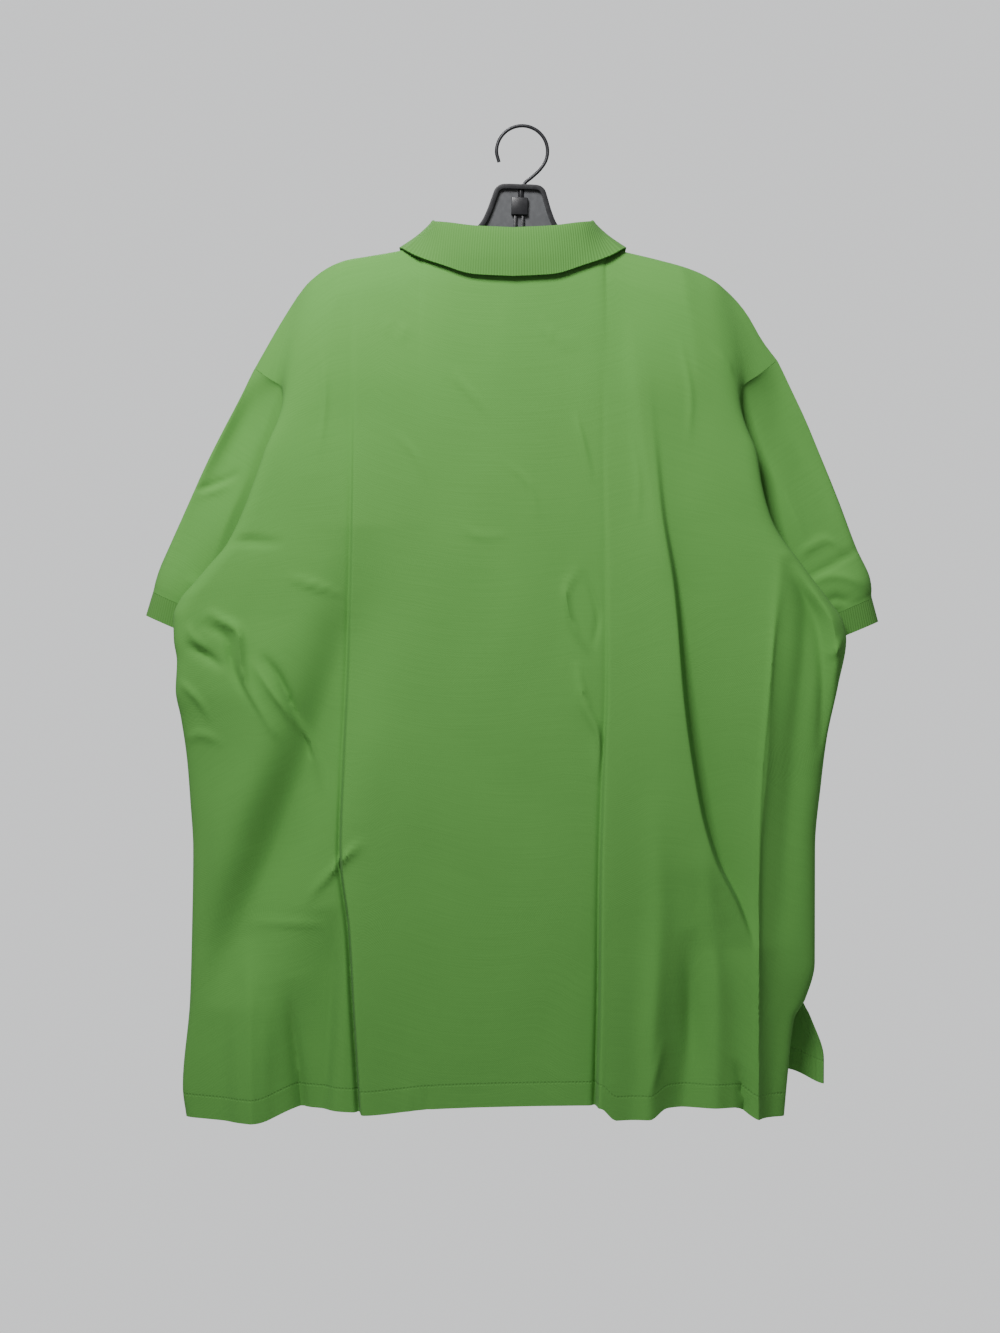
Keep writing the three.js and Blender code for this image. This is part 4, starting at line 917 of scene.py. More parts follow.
    def grid(self) -> tuple[Array, list[Row]]:
        """Returns the outer surface as rows of points, and the rows."""
        rows = self.rows()
        seams = {side: self.shoulder(side) for side in Side}
        ends = {side: self.row_ends(rows, side, seams[side]) for side in Side}
        top = self.top_row()
        bend_count = self.behind + self.before
        middle_top = top[bend_count : len(top) - bend_count]
        share = (middle_top[:, 0] - middle_top[0, 0]) / (middle_top[-1, 0] - middle_top[0, 0])
        grid = [top]
        for number, row in enumerate(rows[1:], 1):
            both = (ends[Side.LEFT][number], ends[Side.RIGHT][number])
            settle = float(ease((row.index - 1) / 8))
            start = mix(middle_top[0, 0], both[0].edge_x + self.bend_inset, settle)
            stop = mix(middle_top[-1, 0], both[1].edge_x - self.bend_inset, settle)
            even = self.crowded(start, stop, len(middle_top) - 1, row.level)
            xs = mix(mix(start, stop, share), even, settle)
            middle = self.points(xs, row, both)
            curves = []
            for side, end, near, offset in ((Side.LEFT, both[0], 0, 1.0), (Side.RIGHT, both[1], -1, -1.0)):
                next_ = self.points(np.array([xs[near] + offset]), row, both)[0]
                line = self.side_curve(end, middle[near], next_)
                if self.face is Face.FRONT and settle < 1:
                    line = self.follow_shoulder(line, seams[side], row, both, 1 - settle)
                curves.append(line)
            grid.append(np.vstack([curves[0][:-1], middle, curves[1][::-1][1:]]))
        points = np.array(grid)
        first = next(i for i, row in enumerate(rows) if row.index >= 1)
        for k in range(1, first):
            points[k] = mix(points[0], points[first], rows[k].index)
        return points, rows

    def side_curve(self, end: RowEnd, inner: Array, inner_next: Array) -> Array:
        """Returns points from the seam to the panel's level part, on one side."""
        outwards = unit(inner - inner_next)
        if self.face is Face.FRONT:
            steps = np.linspace(0, 1, self.behind + self.before + 1)
            return bend(end.point, -end.way, inner, -outwards, steps)
        behind = bend(end.point, -end.way, end.fold, -end.fold_way, np.linspace(0, 1, self.behind + 1))
        before = bend(end.fold, -end.fold_way, inner, -outwards, np.linspace(0, 1, self.before + 1))
        return np.vstack([behind[:-1], before])

    def follow_shoulder(
        self, line: Array, seam: Array, row: Row, both: tuple[RowEnd, RowEnd], share: float
    ) -> Array:
        """Moves a side curve of the front so that its upper rows follow the shoulder's ridge."""
        last = len(line) - 1
        off = self.points(line[:1, 0], row, both)[0] - line[0]
        reach = (seam[1:last, 0] - seam[0, 0]) / (seam[last, 0] - seam[0, 0])
        on_ridge = self.points(mix(line[0, 0], line[-1, 0], reach), row, both)
        goal = on_ridge - off * ((1 - reach) ** 2)[:, None]
        moved = line.copy()
        moved[1:-1] = mix(line[1:-1], goal, share)
        return moved

    def eased_shoulder(self, points: Array, rows: list[Row], passes: int = 160) -> Array:
        """Evens out the cloth over the shoulder's end, where its turned side begins.

        Args:
            points: The outer surface.
            rows: Its rows.
            passes: How often each point moves towards its neighbours' middle.

        Returns:
            The evened surface, with the same edges.
        """
        index = np.array([row.index for row in rows])
        columns = np.arange(points.shape[1])
        inside = np.minimum(columns, columns[::-1])
        reach = self.behind + self.before + 10
        down = ease((8.5 - index) / 2.5)[:, None] * ease((index - 0.8) / 2)[:, None]
        share = down * ease((reach - inside) / 8)[None, :]
        share = np.where(inside[None, :] > 0, share, 0)[..., None] * 0.5
        share[0], share[-1] = 0, 0
        return smoothed(points, share, passes)

    def evened(self, points: Array, rows: list[Row], passes: int = 90) -> Array:
        """Evens out the whole surface but for its edges.

        Args:
            points: The outer surface.
            rows: Its rows.
            passes: How often each point moves towards its neighbours' middle.

        Returns:
            The evened surface, with the same edges.
        """
        index = np.array([row.index for row in rows])
        last = len(UPPER_ROWS.values) + len(LEVELS) - 1
        columns = np.arange(points.shape[1])
        inside = np.minimum(columns, columns[::-1])
        share = (ease((index - 5) / 2) * ease((last - index) / 3))[:, None] * ease(inside / 6)[None, :] * 0.5
        return smoothed(points, share[..., None], passes)

    def creased(self, points: Array) -> Array:
        """Lifts the outer surface along the short creases and lets it waver a little."""
        x, z = points[..., 0], points[..., 2]
        normals = grid_normals(points, ring=False, flip=-self.face.value)
        facing = np.clip(normals[..., 1] * self.face.value, 0, 1) ** 2
        columns = np.arange(points.shape[1])
        inside = np.minimum(columns, columns[::-1])
        facing = facing * ease((inside - (self.behind + 1 if self.face is Face.BACK else 2)) / 4)[None, :]
        lift = sum(crease.rise(x, z) for crease in self.creases) + waver(x, z, 3 + self.face.value)
        below_top = ease(np.maximum(0, np.arange(len(points)) - 2) / 10)[:, None]
        out = points.copy()
        out[..., 1] += self.face.value * lift * facing * below_top
        return out


ARMPIT_HEIGHTS = Table("z share", ((-400, 0), (-424, 0.5), (-445, 0.85), (-462, 1), (-562, 1), (-665, 0)))


def smoothed(points: Array, share: Array, passes: int) -> Array:
    """Moves the inner points of a surface towards their neighbours' middle.

    Args:
        points: The surface.
        share: How far each point moves in one pass, from 0 to 1.
        passes: How often the points move.

    Returns:
        The smoother surface.
    """
    out = points.copy()
    for _ in range(passes):
        middle = out.copy()
        middle[1:-1, 1:-1] = (out[:-2, 1:-1] + out[2:, 1:-1] + out[1:-1, :-2] + out[1:-1, 2:]) / 4
        out = mix(out, middle, share)
    return out


def waver(x: Array, z: Array, seed: int) -> Array:
    """Returns the cloth's small uneven waves, a few tenths to a millimetre high."""
    random = np.random.default_rng(seed)
    total = np.zeros(x.shape)
    for _ in range(26):
        length = random.uniform(26, 120)
        angle = random.normal(0, 0.5)
        phase = random.uniform(0, 2 * math.pi)
        along = x * math.cos(angle) + z * math.sin(angle)
        patch = np.sin(x / 90 + random.uniform(0, 6)) * np.sin(z / 120 + random.uniform(0, 6))
        total += np.sin(2 * math.pi * along / length + phase) * patch * length / 900
    return total


def grid_normals(grid: Array, ring: bool, flip: int) -> Array:
    """Returns a grid's unit normals, turned by flip."""
    down = np.gradient(grid, axis=0)
    if ring:
        across = np.roll(grid, -1, axis=1) - np.roll(grid, 1, axis=1)
    else:
        across = np.gradient(grid, axis=1)
    return unit(np.cross(down, across)) * flip


class Wall:
    """A closed cloth wall made from a grid of outer points in millimetres."""

    def __init__(self, name: str, grid: Array, ring: bool, flip: int) -> None:
        """Keeps the grid.

        Args:
            name: The piece's name.
            grid: Outer points, rows by columns.
            ring: Whether the columns close up into a ring.
            flip: 1 where rows down and columns across give the outward way, or else -1.
        """
        self.name, self.grid, self.ring, self.flip = name, grid, ring, flip
        self.normals = grid_normals(grid, ring, flip)
        self.inward = -self.normals

    def lengths(self) -> tuple[Array, Array]:
        """Returns each corner's length across and down the cloth, in metres."""
        grid = np.concatenate([self.grid, self.grid[:, :1]], axis=1) if self.ring else self.grid
        across = np.zeros(grid.shape[:2])
        across[:, 1:] = np.cumsum(np.linalg.norm(np.diff(grid, axis=1), axis=2), axis=1)
        across -= across[:, across.shape[1] // 2][:, None]
        down = np.zeros(grid.shape[:2])
        down[1:] = np.cumsum(np.linalg.norm(np.diff(grid, axis=0), axis=2), axis=0)
        return across * MM, down * MM

    def even_lengths(self) -> tuple[Array, Array]:
        """Returns the lengths of the middle row and column, the same all over, for a knit rib."""
        across, down = self.lengths()
        middle_row, middle_column = across.shape[0] // 2, across.shape[1] // 2
        return (
            np.broadcast_to(across[middle_row], across.shape),
            np.broadcast_to(down[:, middle_column][:, None], down.shape),
        )

    def edges_pulled_in(self) -> Array:
        """Returns the outer points with the edges a little inwards, which leaves a seam's gap."""
        grid = self.grid.copy()
        grid[0] += unit(self.grid[1] - self.grid[0]) * SEAM_GAP
        grid[-1] += unit(self.grid[-2] - self.grid[-1]) * SEAM_GAP
        if not self.ring:
            grid[:, 0] += unit(self.grid[:, 1] - self.grid[:, 0]) * SEAM_GAP
            grid[:, -1] += unit(self.grid[:, -2] - self.grid[:, -1]) * SEAM_GAP
        return grid

    def faces(self) -> tuple[Array, Array]:
        """Returns the wall's faces as point numbers, and the place of each corner in the lengths."""
        rows, columns = self.grid.shape[:2]
        span = columns if self.ring else columns - 1
        i, j = (part.ravel() for part in np.meshgrid(np.arange(rows - 1), np.arange(span), indexing="ij"))
        a, b, c, d = (np.stack([i + di, j + dj], axis=-1) for di, dj in ((0, 0), (1, 0), (1, 1), (0, 1)))
        top, bottom = i == 0, i == rows - 2
        left, right = (j == 0) & (not self.ring), (j == span - 1) & (not self.ring)
        parts = [
            ((a, 0), (b, 0), (c, 0), (d, 0)),
            ((d, 1), (c, 1), (b, 1), (a, 1)),
            ((d[top], 0), (d[top], 1), (a[top], 1), (a[top], 0)),
            ((b[bottom], 0), (b[bottom], 1), (c[bottom], 1), (c[bottom], 0)),
            ((a[left], 0), (a[left], 1), (b[left], 1), (b[left], 0)),
            ((c[right], 0), (c[right], 1), (d[right], 1), (d[right], 0)),
        ]
        numbers, places = [], []
        for part in parts:
            corners = part if self.flip > 0 else part[::-1]
            numbers.append(np.stack(
                [p[:, 0] * columns + p[:, 1] % columns + layer * rows * columns for p, layer in corners],
                axis=-1,
            ))
            places.append(np.stack([p for p, _ in corners], axis=1))
        return np.concatenate(numbers), np.concatenate(places)

    def build(
        self, wall: float, marks: dict[str, Array] | None = None, even: bool = False
    ) -> bpy.types.Object:
        """Makes the piece.

        Args:
            wall: The cloth's thickness in millimetres.
            marks: Values for each point of the grid, kept as attributes.
            even: Whether the lengths are those of the middle row and column.

        Returns:
            The new object, smooth but for its edges.
        """
        across, down = self.even_lengths() if even else self.lengths()
        outer = self.edges_pulled_in()
        points = np.stack([outer, outer + self.inward * wall]).reshape(-1, 3) * MM
        quads, places = self.faces()
        mesh = bpy.data.meshes.new(self.name)
        mesh.vertices.add(len(points))
        mesh.vertices.foreach_set("co", points.ravel())
        mesh.loops.add(quads.size)
        mesh.loops.foreach_set("vertex_index", quads.ravel())
        mesh.polygons.add(len(quads))
        mesh.polygons.foreach_set("loop_start", np.arange(0, quads.size, 4))
        mesh.update(calc_edges=True)
        layer = mesh.uv_layers.new(name="cloth")
        at = (places[..., 0], places[..., 1])
        layer.data.foreach_set("uv", np.stack([across[at], down[at]], axis=-1).ravel())
        for mark, values in (marks or {}).items():
            attribute = mesh.attributes.new(mark, "FLOAT", "POINT")
            attribute.data.foreach_set("value", np.tile(values.ravel(), 2))
        piece = bpy.data.objects.new(self.name, mesh)
        bpy.context.scene.collection.objects.link(piece)
        select_only(piece)
        bpy.ops.object.shade_smooth_by_angle(angle=math.radians(60))
        return piece


def join_seams(walls: Sequence[Wall]) -> None:
    """Gives walls that share a seam one common way inwards along it, so that they meet in a mitre."""
    numbers: dict[tuple[int, int, int], int] = {}
    keys = []
    for wall in walls:
        rounded = np.round(wall.grid.reshape(-1, 3) * 20).astype(int)
        keys.append(np.array([numbers.setdefault(tuple(row), len(numbers)) for row in rounded.tolist()]))
    total = np.zeros((len(numbers), 3))
    for wall, key in zip(walls, keys):
        np.add.at(total, key, wall.normals.reshape(-1, 3))
    common = unit(total)
    for wall, key in zip(walls, keys):
        way = common[key].reshape(wall.normals.shape)
        lean = np.sum(way * wall.normals, axis=-1, keepdims=True)
        wall.inward = -way / np.maximum(0.8, lean)


def select_only(*pieces: bpy.types.Object) -> None:
    """Selects these pieces alone, the last one active."""
    for other in bpy.context.view_layer.objects:
        other.select_set(False)
    for piece in pieces:
        piece.select_set(True)
        bpy.context.view_layer.objects.active = piece


@dataclass
class Sleeve:
    """A short sleeve with its cuff, from the armhole's ring down to the mouth."""

    side: Side
    outer_corner: tuple[float, float, float]
    inner_corner: tuple[float, float, float]
    start: tuple[float, float, float]
    start_pull: float
    end: tuple[float, float, float]
    end_pull: float
    blouse: float
    creases: tuple[Crease, ...] = ()
    rows: int = 84
    cuff_rows: int = 8

    def ring(self, back: Array, front: Array, rows: list[Row]) -> tuple[Array, Array, Array]:
        """Returns the armhole's points, each point's share of the way down, and whether it is on the back."""
        column = 0 if self.side is Side.LEFT else -1
        last = len(UPPER_ROWS.values) - 1 + LEVELS.index(UNDERARM) + 1
        index = np.array([row.index for row in rows])
        count = int(np.searchsorted(index, last + 1e-6))
        down, up = back[:count, column], front[:count, column][::-1]
        shares = index[:count] / last
        points = np.vstack([down, up[1:-1]])
        share = np.concatenate([shares, shares[::-1][1:-1]])
        on_back = np.concatenate([np.ones(count, bool), np.zeros(count - 2, bool)])
        return points, share, on_back

    def grids(self, ring: tuple[Array, Array, Array]) -> tuple[Array, Array]:
        """Returns the grids of the sleeve and of its cuff."""
        start, share, on_back = ring
        out = self.side.value
        column = share[:, None]
        outer, inner = np.array(self.outer_corner), np.array(self.inner_corner)
        middle = (outer + inner) / 2
        angle = np.pi * share
        mouth = middle + (outer - middle) * np.cos(angle)[:, None]
        mouth[:, 1] += np.where(on_back, -1, 1) * 28 * np.sin(angle)
        end = unit(mix(np.array(self.end), np.array([-out * 0.1, 0.1, -0.99]), column))
        end_pull = mix(self.end_pull, 10, column)
        cuff_top = mouth - end * CUFF_HEIGHT
        leave = np.tile(np.array(self.start), (len(share), 1))
        pull = np.full(len(share), float(self.start_pull))
        side = np.where(on_back[:, None], [out * 0.22, 0.85, -0.5], [out * 0.85, 0.25, -0.5])
        parts = (
            (0.0, 0.42, side, np.where(on_back, 20, 34)),
            (0.45, 0.3, np.array([out * 0.8, 0.42, -0.42]), 38),
            (0.84, 0.16, np.array([out * 0.3, 0.66, -0.7]), 24),
        )
        for first, over, way, length in parts:
            taken = ease((share - first) / over)
            leave = mix(leave, way, taken[:, None])
            pull = mix(pull, length, taken)
        handles = (start + unit(leave) * pull[:, None], cuff_top - end * end_pull)
        t = np.linspace(0, 1, self.rows + 1) ** 1.1
        shape = t[:, None, None]
        grid = (1 - shape) ** 3 * start + 3 * (1 - shape) ** 2 * shape * handles[0]
        grid = grid + 3 * (1 - shape) * shape**2 * handles[1] + shape**3 * cuff_top
        away = grid - middle
        away[..., 2] = 0
        puff = self.blouse * np.exp(-(((shape - 0.88) / 0.09) ** 2)) * ease((1 - shape) / 0.05)
        grid = grid + unit(away) * puff
        steps = np.linspace(0, 1, self.cuff_rows + 1)[:, None, None]
        return grid, mix(cuff_top, mouth, steps)

    def creased(self, grid: Array) -> Array:
        """Lifts the sleeve along its creases and lets it waver."""
        normals = grid_normals(grid, ring=True, flip=-self.side.value)
        x, z = grid[..., 0], grid[..., 2]
        behind = np.clip(-normals[..., 1], 0, 1) ** 1.5
        lift = sum((crease.rise(x, z) for crease in self.creases), np.zeros(x.shape)) * behind
        rows = np.arange(len(grid)) / (len(grid) - 1)
        fade = (ease(rows / 0.12) * ease((1 - rows) / 0.06))[:, None]
        lift = lift + waver(x * 1.4, z * 1.2 + grid[..., 1], 8 + self.side.value) * 1.1
        return grid + normals * (lift * fade)[..., None]


@dataclass
class Collar:
    """The folded rib collar: each section runs from the neck seam up, over the fold and down to the edge."""

    half_count: int = 92
    section_steps: int = 7
    wall: float = RIB_WALL

    def grid(self) -> Array:
        """Returns the collar's outer surface, a section from its seam to its edge for each column."""
        last = float(COLLAR_SECTIONS.values[-1, 0])
        sections = []
        for k in range(-self.half_count, self.half_count + 1):
            side = -1 if k < 0 else 1
            angle = abs(k) / self.half_count * last
            names = ("seam_z", "fold_z", "fold_in", "edge_x", "edge_y", "edge_z")
            seam_z, fold_z, fold_in, edge_x, edge_y, edge_z = (
                float(COLLAR_SECTIONS.at(name, angle)) for name in names
            )
            turn = math.radians(angle)
            slope_x = side * math.sin(turn) / NECK.half_width
            slope_y = -math.cos(turn) / NECK.half_depth
            out = unit(np.array([slope_x, slope_y, 0]))
            ring = NECK.points(np.array([side * angle]))[0]
            seam = ring - out * KNIT_WALL
            seam[2] = seam_z - 1.6
            fold = ring + out * (fold_in - 2)
            fold[2] = fold_z
            edge = np.array([NECK.collar_centre + side * edge_x, edge_y, edge_z])
            inner = fold - out * 2.6 - np.array([0, 0, 4])
            outer = fold + out * 3 - np.array([0, 0, 3.4])
            bulge = 2.4 - 4.6 * abs(math.sin(turn)) ** 3
            fall = (outer + edge) / 2 + out * bulge
            sections.append(resample(np.array([seam, inner, fold, outer, fall, edge]), self.section_steps))
        return np.array(sections)


@dataclass
class Placket:
    """The front's opening: a band on the outside, one inside it, and the buttons on the outer one."""

    x: float = -9
    half_width: float = 16
    bottom: float = -352
    wall: float = 1.2
    lift: float = 0.35
    button_heights: tuple[float, ...] = (-222, -292)

    def band(self, front: Array, outside: bool) -> Array:
        """Returns a band's outer surface, laid on the front's own surface."""
        middle = front.shape[1] // 2
        below = int(np.argmax(front[:, middle, 2] < self.bottom))
        rows = front[: below + 1]
        across = np.linspace(self.x - self.half_width, self.x + self.half_width, 13)
        lines = np.stack(
            [np.stack([np.interp(across, row[:, 0], row[:, k]) for k in range(3)], axis=-1) for row in rows]
        )
        drop = 1.0 if outside else 3.0
        grid = np.empty((60, len(across), 3))
        for j in range(len(across)):
            line = lines[:, j]
            z = np.linspace(line[0, 2] - drop, self.bottom, len(grid))
            for k in range(3):
                grid[:, j, k] = np.interp(-z, -line[:, 2], line[:, k])
        normals = grid_normals(grid, ring=False, flip=-1)
        shift = self.lift + self.wall if outside else -(KNIT_WALL + self.lift)
        return grid + normals * shift

    def buttons(self, band: Array) -> list[tuple[Array, Array]]:
        """Returns each button's place on the band and its outward way."""
        middle = band.shape[1] // 2
        normals = grid_normals(band, ring=False, flip=-1)
        found = []
        for height in self.button_heights:
            row = int(np.argmax(band[:, middle, 2] < height))
            found.append((band[row, middle], unit(normals[row, middle])))
        return found


class Value:
    """A number socket of a shader that takes part in sums."""

    def __init__(self, shader: "Shader", socket: Socket) -> None:
        """Keeps the socket and the shader it belongs to."""
        self.shader, self.socket = shader, socket

    def _with(self, operation: str, *others: "Value | float", first: bool = True) -> "Value":
        """Returns the result of a Math node on this value and others.

        Args:
            operation: The Math node's operation.
            others: The other values or numbers.
            first: Whether this value comes first.

        Returns:
            The result.
        """
        values = (self, *others) if first else (*others, self)
        node = self.shader.node("ShaderNodeMath", {"operation": operation}, dict(enumerate(values)))
        return Value(self.shader, node.outputs[0])

    def __add__(self, other: "Value | float") -> "Value":
        """Returns the sum."""
        return self._with("ADD", other)

    def __radd__(self, other: float) -> "Value":
        """Returns the sum."""
        return self._with("ADD", other)

    def __sub__(self, other: "Value | float") -> "Value":
        """Returns the difference."""
        return self._with("SUBTRACT", other)

    def __rsub__(self, other: float) -> "Value":
        """Returns the number less this value."""
        return self._with("SUBTRACT", other, first=False)

    def __mul__(self, other: "Value | float") -> "Value":
        """Returns the product."""
        return self._with("MULTIPLY", other)

    def __rmul__(self, other: float) -> "Value":
        """Returns the product."""
        return self._with("MULTIPLY", other)

    def sine(self) -> "Value":
        """Returns the sine."""
        return self._with("SINE")

    def size(self) -> "Value":
        """Returns the value without its sign."""
        return self._with("ABSOLUTE")

    def limited(self) -> "Value":
        """Returns the value held between 0 and 1."""
        return self._with("MAXIMUM", 0.0)._with("MINIMUM", 1.0)


class Shader:
    """One material and its nodes."""

    def __init__(self, name: str) -> None:
        """Makes an empty material with its surface shader."""
        self.material = bpy.data.materials.new(name)
        self.material.use_nodes = True
        self.material.node_tree.nodes.clear()
        self.surface = self.node("ShaderNodeBsdfPrincipled")
        self.node("ShaderNodeOutputMaterial", None, {"Surface": self.surface.outputs[0]})

    def node(
        self, kind: str, settings: dict[str, object] | None = None, inputs: dict[object, object] | None = None
    ) -> bpy.types.Node:
        """Adds a node.

        Args:
            kind: The node's type.
            settings: Its settings, set first.
            inputs: Values or links of its sockets, by name or number.

        Returns:
            The node.
        """
        node = self.material.node_tree.nodes.new(kind)
        for key, value in (settings or {}).items():
            setattr(node, key, value)
        for key, value in (inputs or {}).items():
            self.feed(node.inputs[key], value)
        return node

    def feed(self, socket: Socket, value: object) -> None:
        """Sets a socket to a value, or links it to another socket."""
        source = value.socket if isinstance(value, Value) else value
        if isinstance(source, bpy.types.NodeSocket):
            self.material.node_tree.links.new(source, socket)
        else:
            socket.default_value = source

    def place(self) -> tuple[Value, Value, Socket]:
        """Returns the length across and down the cloth, and both as one vector."""
        across_down = self.node("ShaderNodeUVMap", {"uv_map": "cloth"}).outputs[0]
        parts = self.node("ShaderNodeSeparateXYZ", None, {0: across_down})
        return Value(self, parts.outputs[0]), Value(self, parts.outputs[1]), across_down

    def mark(self, name: str) -> Value:
        """Returns an attribute of the piece."""
        return Value(self, self.node("ShaderNodeAttribute", {"attribute_name": name}).outputs["Fac"])

    def noise(self, vector: Socket, scale: tuple[float, float], detail: float = 2.0) -> Value:
        """Returns noise from 0 to 1 whose cells are stretched across or down the cloth."""
        mapping = self.node("ShaderNodeMapping", {"vector_type": "POINT"}, {"Vector": vector})
        mapping.inputs["Scale"].default_value = (*scale, 1.0)
        node = self.node(
            "ShaderNodeTexNoise",
            {"noise_dimensions": "2D"},
            {"Vector": mapping.outputs[0], "Scale": 1.0, "Detail": detail},
        )
        return Value(self, node.outputs["Fac"])

    def tint(self, colour: tuple[float, float, float], dark: float, light: float, share: Value) -> Socket:
        """Returns a colour that runs from its darker to its lighter tone by a share."""
        low, high = (tuple(min(1.0, c * factor) for c in colour) + (1.0,) for factor in (dark, light))
        node = self.node("ShaderNodeMix", {"data_type": "RGBA"}, {"Factor": share})
        node.inputs[6].default_value = low
        node.inputs[7].default_value = high
        return node.outputs[2]

    def bump(self, height: Value, strength: float, distance: float) -> None:
        """Raises the surface by a height."""
        node = self.node(
            "ShaderNodeBump", None, {"Height": height, "Strength": strength, "Distance": distance}
        )
        self.feed(self.surface.inputs["Normal"], node.outputs[0])

    def set(self, values: dict[str, float]) -> None:
        """Sets the surface's own numbers, by their sockets' names."""
        for name, value in values.items():
            self.surface.inputs[name].default_value = value


@dataclass(frozen=True)
class KnitFinish:
    """Soft cotton pique: small raised cells, faint lines across, and stitches beside its hems, whose grooves
    get painted shade.
    """

    colour: tuple[float, float, float]
    cell: float = 0.0016
    hem_line: float = HEM_BAND
    vent_line: float = 9.0
    stitch: float = 0.0034

    def material(self, name: str, hemmed: bool) -> bpy.types.Material:
        """Returns the finish.

        Args:
            name: The material's name.
            hemmed: Whether the piece has the hem and vent attributes.

        Returns:
            The material.
        """
        shader = Shader(name)
        across, down, both = shader.place()
        cells = (across * (2 * math.pi / self.cell)).sine() * (down * (2 * math.pi / self.cell)).sine()
        lines = shader.noise(both, (14.0, 620.0), 3.0)
        wear = shader.noise(both, (9.0, 7.0), 3.0)
        fuzz = shader.noise(both, (900.0, 900.0))
        tone = 0.5 + (lines - 0.5) * 0.5 + (wear - 0.5) * 0.35 + (fuzz - 0.5) * 0.25
        height = cells * 0.35 + fuzz * 0.5 + lines * 0.6
        if hemmed:
            hem = self.stitched(shader, "hem", self.hem_line, across)
            vent = self.stitched(shader, "vent", self.vent_line, down)
            # Painted shade: the stitch rows' grooves are darkened in the base colour.
            tone = tone - (hem + vent) * 0.35
            height = height - (hem + vent) * 4.0
        shader.feed(shader.surface.inputs["Base Color"], shader.tint(self.colour, 0.9, 1.1, tone.limited()))
        shader.bump(height, 0.35, 0.0004)
        shader.set(CLOTH_FINISH)
        return shader.material

    def stitched(self, shader: Shader, mark: str, line: float, along: Value) -> Value:
        """Returns the mask of a row of stitches at a distance from an edge."""
        off = (shader.mark(mark) - line).size()
        groove = (1.5 - off * 1.1).limited()
        dashes = (0.75 + (along * (2 * math.pi / self.stitch)).sine() * 0.9).limited()
        return groove * dashes


@dataclass(frozen=True)
class RibFinish:
    """Flat-knit rib: raised wales that run from edge to edge, with painted shade in the grooves between them.
    """

    colour: tuple[float, float, float]
    pitch: float

    def material(self, name: str, along_rows: bool) -> bpy.types.Material:
        """Returns the finish.

        Args:
            name: The material's name.
            along_rows: Whether the wales follow each other down the grid and not across it.

        Returns:
            The material.
        """
        shader = Shader(name)
        across, down, both = shader.place()
        along = down if along_rows else across
        wales = 0.5 + (along * (2 * math.pi / self.pitch)).sine() * 0.5
        fuzz = shader.noise(both, (800.0, 800.0))
        wear = shader.noise(both, (12.0, 12.0))
        # Painted shade: the tone follows the wales, darker in the grooves between them.
        tone = 0.15 + wales * 0.45 + fuzz * 0.2 + wear * 0.25
        shader.feed(shader.surface.inputs["Base Color"], shader.tint(self.colour, 0.82, 1.12, tone.limited()))
        shader.bump(wales + fuzz * 0.3, 0.5, 0.0006)
        shader.set(CLOTH_FINISH)
        return shader.material


@dataclass(frozen=True)
class HardFinish:
    """Moulded plastic or wire, plain with a little wear in its gloss."""

    colour: tuple[float, float, float]
    roughness: float
    metallic: float = 0.0
    coat: float = 0.0

    def material(self, name: str) -> bpy.types.Material:
        """Returns the finish."""
        shader = Shader(name)
        place = shader.node("ShaderNodeTexCoord").outputs["Object"]
        noise = shader.node("ShaderNodeTexNoise", None, {"Vector": place, "Scale": 240.0, "Detail": 3.0})
        wear = Value(shader, noise.outputs["Fac"])
        shader.feed(shader.surface.inputs["Base Color"], shader.tint(self.colour, 0.85, 1.15, wear))
        shader.feed(shader.surface.inputs["Roughness"], self.roughness + (wear - 0.5) * 0.12)
        shader.set({"Metallic": self.metallic, "Coat Weight": self.coat, "Coat Roughness": 0.15})
        return shader.material


